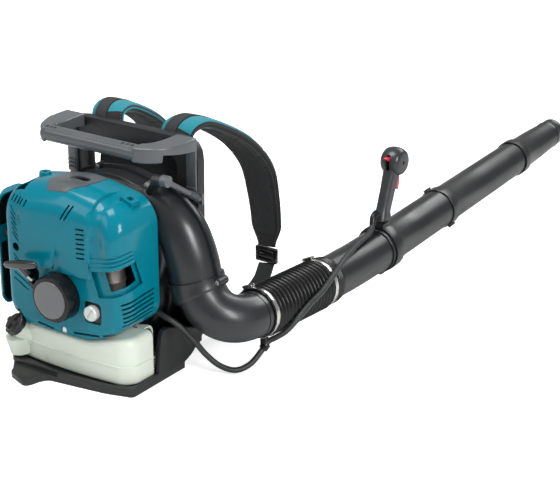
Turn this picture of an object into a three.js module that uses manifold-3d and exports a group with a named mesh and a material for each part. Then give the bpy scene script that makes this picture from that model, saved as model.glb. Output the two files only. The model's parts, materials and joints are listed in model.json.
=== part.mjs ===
// Backpack leaf blower: a petrol engine and a scroll fan on a carrying frame, with an elbow, a ribbed
// hose and four pipes on the wearer's right. Millimetres, +Z up. The engine faces -Y, the wearer's
// back lies on the +Y side, and the crankshaft runs along Y above the origin.
import * as THREE from 'three';
import { mergeVertices } from 'three/addons/utils/BufferGeometryUtils.js';
import Module from 'manifold-3d';

const wasm = await Module();
wasm.setup();

// ---------------------------------------------------------------- driving dimensions, millimetres
const GAP = 0.3; // clearance between pieces that touch
const WALL = 3; // plastic casings
const DEG = Math.PI / 180;

// Base of the frame, with the foot plate at its front left.
const BASE = { halfWidth: 174, front: -150, back: 100, thick: 14, rimHeight: 6, rimWidth: 8 };
const FOOT = { left: -98, right: -38, front: -229, rise: 10 };
const CHEEK = { thick: 12, front: -62, top: 112, backTop: 74 };
// Upright of the frame.
const BACK = { halfWidth: 172, front: 84, thick: 22, top: 478, corner: 46, post: 30 };
// Carrying handle.
const HANDLE = { y: -22, z: 469, radius: 17, left: -140, right: 112, armThick: 26 };
// Back pad and shoulder straps.
const PAD = { halfWidth: 112, bottom: 120, top: 430, thick: 26 };
const STRAP = { width: 100, thick: 26, webWidth: 40, webThick: 3 };
// Crankshaft, fan and scroll casing.
const SHAFT = { z: 185, radius: 9, front: -128, fanSeat: 14 };
const FAN = { radius: 124, back: 12, discThick: 3, width: 40, eye: 78, blades: 18, bladeThick: 3, hub: 26 };
const SCROLL = { front: -20, split: 28, back: 70, start: 132, growth: 0.33, tongue: -6, flange: 8 };
const DUCT = { radius: 54 };
// Elbow outlet, where the hose begins, and the two directions that the pipe line takes.
const OUTLET = { x: 294, y: 107, z: 122, radius: 48, droop: -3.6 };
const LINE_RISE = 2.8;
// Hose, clamps and pipes, as distances along the line from the elbow outlet.
const HOSE = { start: 1, half: 119, crest: 55.5, valley: 50.5, bore: 46.5, ribs: 12, cuff: 16 };
const CLAMP = { radius: 54.6, width: 11, thick: 1.2 };
const PIPE = { wall: 2.6, swivelRadius: 48, middleRadius: 46.5, longRadius: 43.5, tipRadius: 33.5 };
const RUN = { swivel: 231, middle: 281, long: 381, nozzle: 236 };
// Engine cover.
const COVER = { left: -162, right: 156, bottom: 98.5, top: 381, front: -152, back: -31, corner: 48, crown: 27 };
const CLEANER = { left: -214, right: -177, bottom: 112, top: 354, front: -136, back: -30 };
const PRIMER = { x: -170.5, z: 270, radius: 5.5 };
// Fuel tank and cap.
const TANK = { left: -152, right: 164, front: -150, back: -34, bottom: 14.6, seam: 60, top: 97, corner: 34 };
const NECK = { x: -112, y: -132, z: 61, length: 34, radius: 21, bore: 16 };
const CAP = { radius: 25, height: 22 };
// Starter.
const STARTER = { radius: 50, face: 44, depth: 34, drumRadius: 28 };
const ROPE_GUIDE = { x: -54, z: 198, radius: 6.5 };
const PULL = { x: -72, y: -188, z: 246, bar: 92, hubRadius: 8 };
const OILCAP = { x: 82, z: 166, radius: 16 };
const COVER_BOLT = { x: 6, z: 110 };
// Exhaust window in a pocket at the front right corner of the cover, both leaning up to the right.
const POCKET = { x: 120, y: -122, z: 249, length: 90, below: 38, above: 22, depth: 9, lean: 14, turn: 42 };
const WINDOW = { along: 8, length: 52, height: 48 };
// Control handle.
const GRIP = { lean: 24, length: 128, width: 30, depth: 36, head: 33 };
const CABLE = { radius: 6.2 };

// ---------------------------------------------------------------- materials
function finish(color, roughness, metalness = 0) {
  return new THREE.MeshStandardMaterial({ color, roughness, metalness });
}
const TEAL = finish(0x078a9c, 0.25);
const BLACK = finish(0x1d1f22, 0.55);
const DARK = finish(0x2c2f33, 0.45);
const PIPE_BLACK = finish(0x24272a, 0.4);
const RUBBER = finish(0x101112, 0.7);
const STEEL = finish(0xb9bcc0, 0.3, 0.9);
const ALUMINIUM = finish(0x9a9ea2, 0.5, 0.8);
const TANK_WHITE = finish(0xd9e4d2, 0.45);
const GREY = finish(0x4b5055, 0.5);
const SILVER = finish(0xb4b9b6, 0.4, 0.2);
const RED = finish(0xd2303a, 0.45);
const FABRIC = finish(0x17181a, 0.95);
const WHITE = finish(0xe8e8e6, 0.4);

// ---------------------------------------------------------------- small tools for the solids
const v2 = (x, y) => new THREE.Vector2(x, y);
const v3 = (x, y, z) => new THREE.Vector3(x, y, z);
const lerp = THREE.MathUtils.lerp;
const smooth = THREE.MathUtils.smoothstep;
// Corner radius of a faceted bore whose flats clear a round of this radius.
const clearOf = (radius, sides) => (radius + GAP) / Math.cos(Math.PI / sides);

// A geometry with shared corners and no collapsed triangles, facing outwards.
function closed(positions, triangles) {
  const raw = new THREE.BufferGeometry();
  raw.setAttribute('position', new THREE.Float32BufferAttribute(positions, 3));
  raw.setIndex(triangles);
  const merged = mergeVertices(raw, 1e-4);
  const index = merged.index.array;
  const point = merged.attributes.position;
  const kept = [];
  let volume = 0;
  const a = v3(0, 0, 0);
  const b = v3(0, 0, 0);
  const c = v3(0, 0, 0);
  for (let i = 0; i < index.length; i += 3) {
    const [p, q, r] = [index[i], index[i + 1], index[i + 2]];
    if (p === q || q === r || r === p) continue;
    kept.push(p, q, r);
    a.fromBufferAttribute(point, p);
    b.fromBufferAttribute(point, q);
    c.fromBufferAttribute(point, r);
    volume += a.dot(b.cross(c));
  }
  if (volume < 0) kept.reverse();
  merged.setIndex(kept);
  return merged;
}

function solidOf(geometry) {
  const positions = Array.from(geometry.attributes.position.array);
  const count = positions.length / 3;
  const triangles = geometry.index ? Array.from(geometry.index.array) : [...Array(count).keys()];
  const tidy = closed(positions, triangles);
  return new wasm.Manifold(new wasm.Mesh({
    numProp: 3,
    vertProperties: new Float32Array(tidy.attributes.position.array),
    triVerts: new Uint32Array(tidy.index.array),
  }));
}

function geometryOf(solid) {
  const mesh = solid.getMesh();
  const geometry = new THREE.BufferGeometry();
  geometry.setAttribute('position', new THREE.Float32BufferAttribute(mesh.vertProperties, 3));
  geometry.setIndex(Array.from(mesh.triVerts));
  geometry.computeVertexNormals();
  return geometry;
}

const join = (first, ...others) => others.reduce((sum, next) => sum.add(next), first);
const cut = (first, ...others) => others.reduce((rest, next) => rest.subtract(next), first);

function moved(geometry, x, y, z) {
  return geometry.translate(x, y, z);
}

function block(x0, x1, y0, y1, z0, z1) {
  const box = new THREE.BoxGeometry(x1 - x0, y1 - y0, z1 - z0);
  return solidOf(moved(box, (x0 + x1) / 2, (y0 + y1) / 2, (z0 + z1) / 2));
}

// A cylinder or cone from one point to another.
function rod(from, to, radius, sides = 16, endRadius = radius) {
  const way = to.clone().sub(from);
  const body = new THREE.CylinderGeometry(endRadius, radius, way.length(), sides);
  body.translate(0, way.length() / 2, 0);
  body.applyQuaternion(new THREE.Quaternion().setFromUnitVectors(v3(0, 1, 0), way.normalize()));
  return solidOf(body.translate(from.x, from.y, from.z));
}

// An outline pushed straight up (xy), backwards from yBack (xz), or to +X (yz).
function pushed(shape, depth, plane, start, options = {}) {
  const form = new THREE.ExtrudeGeometry(shape, {
    depth, steps: 1, bevelEnabled: false, curveSegments: 4, ...options,
  });
  if (plane === 'xy') return form.translate(0, 0, start);
  if (plane === 'xz') return form.rotateX(Math.PI / 2).translate(0, start + depth, 0);
  const turn = new THREE.Matrix4().makeBasis(v3(0, 1, 0), v3(0, 0, 1), v3(1, 0, 0));
  return form.applyMatrix4(turn).translate(start, 0, 0);
}

function roundedShape(x0, x1, y0, y1, r) {
  const s = new THREE.Shape();
  s.moveTo(x0 + r, y0);
  s.lineTo(x1 - r, y0).absarc(x1 - r, y0 + r, r, -Math.PI / 2, 0);
  s.lineTo(x1, y1 - r).absarc(x1 - r, y1 - r, r, 0, Math.PI / 2);
  s.lineTo(x0 + r, y1).absarc(x0 + r, y1 - r, r, Math.PI / 2, Math.PI);
  s.lineTo(x0, y0 + r).absarc(x0 + r, y0 + r, r, Math.PI, 1.5 * Math.PI);
  return s;
}

// Points round a rectangle with round corners: `arc` steps a corner, `edge` points along each side.
function roundedRing(x0, x1, y0, y1, r, arc = 4, edge = 1) {
  const corners = [[x1 - r, y0 + r, -90], [x1 - r, y1 - r, 0], [x0 + r, y1 - r, 90], [x0 + r, y0 + r, 180]];
  const ring = [];
  corners.forEach(([cx, cy, from], i) => {
    for (let k = 0; k <= arc; k++) {
      const t = (from + (90 * k) / arc) * DEG;
      ring.push(v2(cx + r * Math.cos(t), cy + r * Math.sin(t)));
    }
    const [nx, ny, next] = corners[(i + 1) % 4];
    const last = ring[ring.length - 1];
    const goal = v2(nx + r * Math.cos(next * DEG), ny + r * Math.sin(next * DEG));
    for (let k = 1; k <= edge; k++) ring.push(last.clone().lerp(goal, k / (edge + 1)));
  });
  return ring;
}

// A skin through rings of equally many points, closed at both ends.
function loft(rings) {
  const n = rings[0].length;
  const positions = rings.flatMap((ring) => ring.flatMap((p) => [p.x, p.y, p.z]));
  const triangles = [];
  for (let i = 0; i < rings.length - 1; i++) {
    for (let j = 0; j < n; j++) {
      const a = i * n + j;
      const b = i * n + ((j + 1) % n);
      triangles.push(a, b, b + n, a, b + n, a + n);
    }
  }
  [0, rings.length - 1].forEach((i) => {
    const middle = rings[i].reduce((sum, p) => sum.add(p), v3(0, 0, 0)).divideScalar(n);
    positions.push(middle.x, middle.y, middle.z);
    const hub = positions.length / 3 - 1;
    for (let j = 0; j < n; j++) {
      const a = i * n + j;
      const b = i * n + ((j + 1) % n);
      if (i === 0) triangles.push(hub, b, a);
      else triangles.push(hub, a, b);
    }
  });
  return closed(positions, triangles);
}

// A wall between an outer and an inner skin that are joined at both ends.
function sleeve(outer, inner) {
  const n = outer[0].length;
  const rings = [...outer, ...inner.slice().reverse(), outer[0]];
  const positions = rings.flatMap((ring) => ring.flatMap((p) => [p.x, p.y, p.z]));
  const triangles = [];
  for (let i = 0; i < rings.length - 1; i++) {
    for (let j = 0; j < n; j++) {
      const a = i * n + j;
      const b = i * n + ((j + 1) % n);
      triangles.push(a, b, b + n, a, b + n, a + n);
    }
  }
  return closed(positions, triangles);
}

// Circles square to a curve, at shares t of its length, with radius(t).
function circlesAlong(curve, radius, sides, steps, startAcross) {
  const frames = curve.computeFrenetFrames(steps, false);
  const rings = [];
  let across = startAcross.clone();
  for (let i = 0; i <= steps; i++) {
    const t = i / steps;
    const centre = curve.getPointAt(t);
    const along = frames.tangents[i];
    across = across.clone().addScaledVector(along, -across.dot(along)).normalize();
    const other = along.clone().cross(across);
    const ring = [];
    for (let j = 0; j < sides; j++) {
      const a = (2 * Math.PI * j) / sides;
      ring.push(centre.clone()
        .addScaledVector(across, radius(t) * Math.cos(a))
        .addScaledVector(other, radius(t) * Math.sin(a)));
    }
    rings.push(ring);
  }
  return rings;
}

// A turned piece round the Y axis: the profile is [radius, y] pairs and closes on itself.
function turned(profile, sides) {
  const points = [...profile, profile[0]].map(([r, y]) => v2(r, y));
  return new THREE.LatheGeometry(points, sides);
}

// A flexible lead along a curve.
function lead(points, radius, sides, steps) {
  const curve = new THREE.CatmullRomCurve3(points.map(([x, y, z]) => v3(x, y, z)), false, 'centripetal');
  const rings = circlesAlong(curve, () => radius, sides, steps, v3(0.31, 0.2, 1));
  return { curve, geometry: loft(rings) };
}

const machine = new THREE.Group();
const totals = [];

function place(parent, name, form, material, position, rotation) {
  const geometry = form.isBufferGeometry ? geometryOf(solidOf(form)) : geometryOf(form);
  const mesh = new THREE.Mesh(geometry, material);
  mesh.name = name;
  if (position) mesh.position.copy(position);
  if (rotation) mesh.rotation.copy(rotation);
  parent.add(mesh);
  totals.push([name, geometry.index.count / 3]);
  return mesh;
}

// ---------------------------------------------------------------- frame base and foot plate
// The moulded base has a low rim, a foot plate that reaches forward beside the starter, and a cheek
// at each side that rises to the upright.
function baseOutline(inset) {
  const w = BASE.halfWidth - inset;
  const f = BASE.front + inset;
  const s = new THREE.Shape();
  s.moveTo(w - 14, f);
  s.quadraticCurveTo(w, f, w, f + 14);
  s.lineTo(w, 24);
  s.quadraticCurveTo(w - 20, 52, 124 - inset, 60);
  s.lineTo(120 - inset, BASE.back - inset);
  s.lineTo(-120 + inset, BASE.back - inset);
  s.lineTo(-124 + inset, 60);
  s.quadraticCurveTo(-w + 20, 52, -w, 24);
  s.lineTo(-w, f + 54);
  s.quadraticCurveTo(-w + 4, f + 10, FOOT.left - 34 + inset, f - 8);
  if (inset === 0) {
    s.quadraticCurveTo(FOOT.left - 20, FOOT.front + 50, FOOT.left - 4, FOOT.front + 32);
    s.quadraticCurveTo(FOOT.left, FOOT.front + 16, FOOT.left + 14, FOOT.front + 13);
    s.lineTo(FOOT.right - 10, FOOT.front);
    s.quadraticCurveTo(FOOT.right + 2, FOOT.front - 1, FOOT.right + 6, FOOT.front + 18);
    s.quadraticCurveTo(FOOT.right + 10, FOOT.front + 44, FOOT.right + 24, f - 31);
  } else {
    s.lineTo(FOOT.right + 24, f - 26);
  }
  s.lineTo(110, f - 14);
  s.quadraticCurveTo(130, f - 10, w - 14, f);
  return s;
}

function cheek(x0) {
  const side = new THREE.Shape();
  side.moveTo(CHEEK.front, BASE.thick - 1);
  side.lineTo(CHEEK.front + 12, CHEEK.top - 16);
  side.quadraticCurveTo(CHEEK.front + 16, CHEEK.top, CHEEK.front + 34, CHEEK.top - 2);
  side.lineTo(70, CHEEK.backTop);
  side.lineTo(BACK.front - GAP, CHEEK.backTop - 6);
  side.lineTo(BACK.front - GAP, 40);
  side.lineTo(64, 34);
  side.quadraticCurveTo(50, 20, 22, BASE.thick - 1);
  return solidOf(pushed(side, CHEEK.thick, 'yz', x0));
}

const baseBody = cut(
  join(
    solidOf(pushed(baseOutline(0), BASE.thick + BASE.rimHeight, 'xy', 0)),
    cheek(BASE.halfWidth - CHEEK.thick),
    cheek(-BASE.halfWidth),
  ),
  solidOf(pushed(baseOutline(BASE.rimWidth), 40, 'xy', BASE.thick))
    .subtract(cheek(BASE.halfWidth - CHEEK.thick))
    .subtract(cheek(-BASE.halfWidth)),
  block(FOOT.left - 60, FOOT.right + 40, FOOT.front - 10, -172, 12, 40),
  block(-90, 90, -120, -24, -1, 6),
  block(-158, 158, -30, 140, BASE.thick, 40),
);
place(machine, 'frame_base', baseBody, BLACK);

// ---------------------------------------------------------------- frame upright
// A flat moulded frame with two windows and stiffening ribs, standing on the base.
function uprightOutline() {
  const w = BACK.halfWidth;
  const s = new THREE.Shape();
  s.moveTo(-w + 40, BASE.thick + GAP);
  s.lineTo(w - 40, BASE.thick + GAP);
  s.quadraticCurveTo(w - 8, 30, w - 4, 70);
  s.lineTo(w, BACK.top - BACK.corner);
  s.quadraticCurveTo(w, BACK.top, w - BACK.corner, BACK.top);
  s.lineTo(-w + BACK.corner, BACK.top);
  s.quadraticCurveTo(-w, BACK.top, -w, BACK.top - BACK.corner);
  s.lineTo(-w + 4, 70);
  s.quadraticCurveTo(-w + 8, 30, -w + 40, BASE.thick + GAP);
  return s;
}

const INTAKE_WINDOW = { halfWidth: 104, bottom: 82, top: 294, corner: 40 };
const TOP_WINDOW = { halfWidth: 118, bottom: 352, top: 436, corner: 24 };
const upright = uprightOutline();
[INTAKE_WINDOW, TOP_WINDOW].forEach(({ halfWidth, bottom, top, corner }) => {
  upright.holes.push(roundedShape(-halfWidth, halfWidth, bottom, top, corner));
});
const uprightRibs = [-150, -128, 128, 150].map((x) => block(x - 3, x + 3, BACK.front + 8, BACK.front + 30, 90, 420));
const uprightBody = cut(
  solidOf(pushed(upright, BACK.thick, 'xz', BACK.front)),
  ...uprightRibs,
  block(-BACK.halfWidth + 34, BACK.halfWidth - 34, BACK.front - 1, BASE.back + GAP, 0, BASE.thick + BASE.rimHeight + GAP),
);
place(machine, 'frame_upright', uprightBody, BLACK);

// ---------------------------------------------------------------- carrying handle
// A round grip in front of the frame, carried by two flat arms that sweep back to the posts.
const gripBar = rod(v3(HANDLE.left, HANDLE.y, HANDLE.z), v3(HANDLE.right, HANDLE.y, HANDLE.z), HANDLE.radius, 16);
function handleArm(side, end) {
  const outer = side * BACK.halfWidth;
  const s = new THREE.Shape();
  s.moveTo(end, HANDLE.y - 16);
  s.quadraticCurveTo(outer - side * 20, HANDLE.y - 10, outer, HANDLE.y + 50);
  s.lineTo(outer, BACK.front - GAP);
  s.lineTo(outer - side * 50, BACK.front - GAP);
  s.lineTo(outer - side * 50, HANDLE.y + 62);
  s.quadraticCurveTo(outer - side * 54, HANDLE.y + 26, end, HANDLE.y + 17);
  return solidOf(pushed(s, 32, 'xy', HANDLE.z - 16));
}
const handleSlots = [-128, -118, -108, 70, 82, 94].map((x) => {
  const slot = new THREE.BoxGeometry(5, 9, 6).rotateZ(-0.5);
  return solidOf(moved(slot, x, HANDLE.y - 6, HANDLE.z + HANDLE.radius));
});
const armTaper = new THREE.Matrix4().makeRotationX(-8 * DEG);
const handleBody = cut(
  join(gripBar, handleArm(1, HANDLE.right - 12), handleArm(-1, HANDLE.left + 12)),
  ...handleSlots,
  solidOf(moved(new THREE.BoxGeometry(420, 160, 30).applyMatrix4(armTaper), 0, 70, 444)),
);
// Each arm ends in a ribbed plate that is screwed down the front of its post.
const postPlates = [-1, 1].flatMap((side) => {
  const x0 = side * 158 - 12;
  const ribs = [358, 367, 376].map((z) => block(x0 + 2, x0 + 22, BACK.front - 9, BACK.front - 5, z, z + 4));
  return [block(x0, x0 + 24, BACK.front - 6, BACK.front - GAP, 352, 470), ...ribs];
});
// A stay with a ribbed boot runs from the right plate to a bracket on the casing.
const STAY = { eye: v3(172.5, -22, 424), foot: v3(180, 77, 358), radius: 6 };
const stayAt = (t) => STAY.eye.clone().lerp(STAY.foot, t);
const stay = join(
  rod(v3(165, -22, STAY.eye.z), v3(180, -22, STAY.eye.z), 12, 12),
  rod(STAY.eye, STAY.foot, STAY.radius, 10),
  ...[0.82, 0.88, 0.94].map((t) => rod(stayAt(t), stayAt(t + 0.025), STAY.radius + 2, 10)),
  block(166, 187, BACK.front - 8, BACK.front - GAP, 347, 370),
);
place(machine, 'carry_handle', handleBody.add(join(...postPlates)).add(stay), DARK);

// ---------------------------------------------------------------- scroll casing of the fan
// The scroll grows from the tongue clockwise as seen from the engine, and runs out into a round duct
// that leads down on the right. Front and rear shells meet in a bolted flange.
function scrollRing(y, inset) {
  const ring = [];
  const steps = 24;
  for (let i = 0; i < steps; i++) {
    const turnedBy = (360 * i) / steps;
    const a = (SCROLL.tongue - turnedBy) * DEG;
    const blendBack = Math.max(0, (turnedBy - 290) / 60);
    const r = lerp(SCROLL.start + SCROLL.growth * turnedBy, SCROLL.start, Math.min(1, blendBack ** 1.5)) - inset;
    ring.push(v3(r * Math.cos(a), y, SHAFT.z + r * Math.sin(a)));
  }
  return ring;
}

const ductCurve = new THREE.CatmullRomCurve3(
  [[84, 352], [124, 338], [167, 305], [192, 258], [205, 211]].map(([x, z]) => v3(x, SCROLL.split, z)),
);
const ductSkin = (extra) => solidOf(loft(circlesAlong(ductCurve, () => DUCT.radius + extra, 16, 6, v3(0, 1, 0))));
const scrollSkin = (inset) => solidOf(loft([
  scrollRing(SCROLL.front + inset, 24 + inset),
  ...(inset ? [] : [scrollRing(SCROLL.front + 5, 9)]),
  scrollRing(SCROLL.front + 18, inset),
  scrollRing(SCROLL.back - 14, inset),
  ...(inset ? [] : [scrollRing(SCROLL.back - 4, 7)]),
  scrollRing(SCROLL.back - inset, 20 + inset),
]));
const flangeSlab = block(-400, 400, SCROLL.split - 4, SCROLL.split + 4, -50, 460);
const flangeSkin = join(
  solidOf(loft([scrollRing(SCROLL.split - 4, -SCROLL.flange), scrollRing(SCROLL.split + 4, -SCROLL.flange)])),
  ductSkin(SCROLL.flange).intersect(flangeSlab),
);
const ductEnd = ductCurve.getPointAt(1);
const ductWay = ductCurve.getTangentAt(1);
const ductMouth = rod(
  ductEnd.clone().addScaledVector(ductWay, -12),
  ductEnd.clone().addScaledVector(ductWay, 30),
  DUCT.radius - WALL, 16,
);
const casingWhole = cut(
  join(scrollSkin(0), ductSkin(0), flangeSkin),
  scrollSkin(WALL),
  ductSkin(-WALL),
  ductMouth,
  rod(v3(0, SCROLL.back - 20, SHAFT.z), v3(0, SCROLL.back + 9, SHAFT.z), FAN.eye + 8, 18),
  rod(v3(0, SCROLL.front - 9, SHAFT.z), v3(0, SCROLL.front + 20, SHAFT.z), 30, 20),
);
const boltAngles = [62, 100, 140, 180, 218, 250, 300];
const bosses = boltAngles.map((deg) => {
  const travelled = SCROLL.tongue - deg + 360;
  const r = SCROLL.start + SCROLL.growth * (travelled % 360) + 4;
  const x = r * Math.cos(deg * DEG);
  const z = SHAFT.z + r * Math.sin(deg * DEG);
  return rod(v3(x, SCROLL.split - 9, z), v3(x, SCROLL.split + 9, z), 8, 8);
});
const lugs = join(...bosses.map((boss) => cut(boss, scrollSkin(WALL / 2))));
const stayBracket = cut(
  join(
    rod(v3(112, 2, 378), v3(152, -21, 422), 10, 10),
    rod(v3(144, -22, STAY.eye.z - 2), v3(165 - GAP, -22, STAY.eye.z - 2), 11, 12),
  ),
  ductSkin(-WALL / 2),
  scrollSkin(WALL / 2),
);
const casing = join(casingWhole, lugs, stayBracket);
const frontHalf = block(-500, 500, -200, SCROLL.split, -100, 600);
const rearHalf = block(-500, 500, SCROLL.split + GAP, 300, -100, 600);
place(machine, 'scroll_front_shell', casing.intersect(frontHalf), DARK);
place(machine, 'scroll_rear_shell', casing.intersect(rearHalf), DARK);

// ---------------------------------------------------------------- fan impeller and crankshaft
// Backward-curved blades stand on a disc round a hub that is keyed to the crankshaft.
function blade(angle) {
  const inner = FAN.eye - 12;
  const s = new THREE.Shape();
  s.moveTo(inner, 0);
  s.quadraticCurveTo((inner + FAN.radius) / 2, 26, FAN.radius - 2, 6);
  s.lineTo(FAN.radius - 2, 6 - FAN.bladeThick);
  s.quadraticCurveTo((inner + FAN.radius) / 2, 26 - FAN.bladeThick * 1.2, inner, -FAN.bladeThick);
  const form = pushed(s, FAN.width + 1, 'xz', FAN.back + FAN.discThick - 1, { curveSegments: 1 });
  return solidOf(form.rotateY(angle).translate(0, 0, SHAFT.z));
}
const fanDisc = turned([
  [SHAFT.radius + GAP, -16], [FAN.hub, -16], [FAN.hub + 4, 0], [FAN.radius, 0],
  [FAN.radius, FAN.discThick], [FAN.hub + 8, FAN.discThick], [FAN.hub, FAN.width * 0.6],
  [SHAFT.radius + GAP, FAN.width * 0.6],
], 28).translate(0, FAN.back, SHAFT.z);
const blades = [...Array(FAN.blades).keys()].map((i) => blade((2 * Math.PI * i) / FAN.blades));
place(machine, 'fan_impeller', join(solidOf(fanDisc), ...blades), DARK);

const shaftEnd = FAN.back + FAN.width * 0.6 + 10;
place(machine, 'crankshaft', join(
  rod(v3(0, SHAFT.front, SHAFT.z), v3(0, shaftEnd, SHAFT.z), SHAFT.radius, 16),
  rod(v3(0, SHAFT.front, SHAFT.z), v3(0, SHAFT.front + 9, SHAFT.z), 26, 18),
  rod(v3(0, FAN.back + FAN.width * 0.6 + GAP, SHAFT.z), v3(0, shaftEnd, SHAFT.z), 14, 6),
), STEEL);

// ---------------------------------------------------------------- intake guard
// Rings and spokes across the fan's eye, clipped to the rear shell.
const guardRings = [24, 54].map((r) => turned([[r, 0], [r + 4, 0], [r + 4, 4], [r, 4]], 14));
const guardSpokes = [...Array(6).keys()].map((i) => {
  const bar = new THREE.BoxGeometry(66, 4, 4).translate(26 + 33, 2, 0);
  return solidOf(bar.rotateY((i * Math.PI) / 3 + 0.2));
});
const guard = join(
  ...guardRings.map(solidOf),
  ...guardSpokes,
  solidOf(turned([[84, 0], [96, 0], [96, 4], [84, 4]], 18)),
);
place(machine, 'intake_guard', guard, BLACK, v3(0, SCROLL.back + GAP, SHAFT.z));

// ---------------------------------------------------------------- elbow
// A moulded bend from the duct down, out and forward to the hose.
const outletWay = v3(0, Math.cos(OUTLET.droop * DEG), Math.sin(OUTLET.droop * DEG));
const outletPoint = v3(OUTLET.x, OUTLET.y, OUTLET.z);
const elbowStart = ductEnd.clone().addScaledVector(ductWay, GAP);
const elbowCurve = new THREE.CubicBezierCurve3(
  elbowStart,
  elbowStart.clone().addScaledVector(ductWay, 78),
  outletPoint.clone().addScaledVector(outletWay, -92),
  outletPoint,
);
const elbowRadius = (t) => lerp(DUCT.radius, OUTLET.radius, t);
const elbowRings = circlesAlong(elbowCurve, elbowRadius, 16, 7, v3(0, 1, 0));
const elbowBore = circlesAlong(elbowCurve, (t) => elbowRadius(t) - WALL, 16, 5, v3(0, 1, 0));
const collar = rod(
  elbowStart, elbowStart.clone().addScaledVector(ductWay, 13), DUCT.radius + 4.5, 16,
).subtract(rod(
  elbowStart.clone().addScaledVector(ductWay, -5),
  elbowStart.clone().addScaledVector(ductWay, 20), DUCT.radius - 1, 16,
));
const ductSide = v3(-ductWay.z, 0, ductWay.x);
const lugAt = elbowStart.clone().addScaledVector(ductWay, 10).addScaledVector(ductSide, DUCT.radius + 9);
const elbowLug = rod(lugAt.clone().add(v3(0, -13, 0)), lugAt.clone().add(v3(0, 13, 0)), 9, 12)
  .subtract(solidOf(loft(elbowBore)));
place(machine, 'elbow', join(solidOf(sleeve(elbowRings, elbowBore)), collar, elbowLug), DARK);

// ---------------------------------------------------------------- hose and pipes
// The line is built along the local Y axis from the elbow outlet. The ribbed hose is one moulding
// that bends at two places, so its rear and front halves are separate solids.
const line = new THREE.Group();
line.position.copy(outletPoint);
line.rotation.x = OUTLET.droop * DEG;
machine.add(line);

function bellows(length, cuffAtStart) {
  const ribbed = length - HOSE.cuff;
  const pitch = ribbed / HOSE.ribs;
  const start = cuffAtStart ? HOSE.cuff : 0;
  const profile = [];
  const cuff = [[HOSE.valley + 1.5, 0], [HOSE.valley + 1.5, HOSE.cuff]];
  if (cuffAtStart) profile.push(...cuff);
  for (let i = 0; i < HOSE.ribs; i++) {
    const y = start + i * pitch;
    if (i > 0 || !cuffAtStart) profile.push([HOSE.valley, y]);
    profile.push([HOSE.crest, y + pitch * 0.5]);
  }
  if (cuffAtStart) profile.push([HOSE.valley, length]);
  else profile.push(...cuff.map(([r, y]) => [r, y + length - HOSE.cuff]));
  for (let i = 3; i >= 0; i--) profile.push([HOSE.bore + 1, (length * i) / 3]);
  return turned(profile, 8);
}
place(line, 'hose_rear', bellows(HOSE.half, true), RUBBER, v3(0, HOSE.start, 0));
place(line, 'hose_front', bellows(HOSE.half, false), RUBBER, v3(0, HOSE.start + HOSE.half + GAP, 0));
const hoseEnd = HOSE.start + 2 * HOSE.half + GAP;

// Worm-drive clamps: a thin band and the screw housing on its top left.
function hoseClamp(name, y) {
  const inner = clearOf(HOSE.valley + 1.5, 20);
  const band = solidOf(turned([
    [inner, 0], [inner + CLAMP.thick, 0], [inner + CLAMP.thick, CLAMP.width], [inner, CLAMP.width],
  ], 20));
  const housing = cut(
    join(
      block(-11, 11, 0.5, CLAMP.width - 0.5, inner - 3, inner + 7),
      rod(v3(-15, CLAMP.width / 2, inner + 5), v3(15, CLAMP.width / 2, inner + 5), 3.6, 8),
    ),
    rod(v3(0, -5, 0), v3(0, 30, 0), inner + CLAMP.thick / 2, 20),
  );
  place(line, name, band.add(housing), STEEL, v3(0, y, 0), new THREE.Euler(0, -25 * DEG, 0));
}
hoseClamp('hose_clamp_rear', HOSE.start + 3);
hoseClamp('hose_clamp_front', hoseEnd - CLAMP.width - 3);

// Swivel ring: the ribbed collar in which the pipe turns.
const ringLength = 26;
const ringBore = clearOf(PIPE.swivelRadius, 16) + 1;
const swivelRing = turned([
  [ringBore, 0], [PIPE.swivelRadius + 5, 0], [PIPE.swivelRadius + 5, 5],
  [PIPE.swivelRadius + 3.4, 6.5], [PIPE.swivelRadius + 3.4, 10], [PIPE.swivelRadius + 5, 11.5],
  [PIPE.swivelRadius + 5, 15], [PIPE.swivelRadius + 3.4, 16.5], [PIPE.swivelRadius + 3.4, 20],
  [PIPE.swivelRadius + 4.4, 21.5], [PIPE.swivelRadius + 4.4, ringLength], [ringBore, ringLength],
], 16);
place(line, 'swivel_ring', swivelRing, PIPE_BLACK, v3(0, hoseEnd + GAP, 0));

// The swivel pipe bends slightly upwards, to the direction of the straight pipes.
const bend = LINE_RISE - OUTLET.droop;
const swivelStart = hoseEnd + 2 + GAP;
const bendArm = RUN.swivel / 2;
const swivelCurve = new THREE.QuadraticBezierCurve3(
  v3(0, swivelStart, 0),
  v3(0, swivelStart + bendArm, 0),
  v3(0, swivelStart + bendArm * (1 + Math.cos(bend * DEG)), bendArm * Math.sin(bend * DEG)),
);
const swivelRings = circlesAlong(swivelCurve, () => PIPE.swivelRadius, 16, 4, v3(1, 0, 0));
const swivelBore = circlesAlong(swivelCurve, () => PIPE.swivelRadius - PIPE.wall, 16, 4, v3(1, 0, 0));
place(line, 'swivel_pipe', sleeve(swivelRings, swivelBore), PIPE_BLACK);

// The straight pipes push over each other with a bayonet: a collar at the near end with lugs.
const straight = new THREE.Group();
straight.position.copy(swivelCurve.getPoint(1));
straight.rotation.x = bend * DEG;
line.add(straight);

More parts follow.
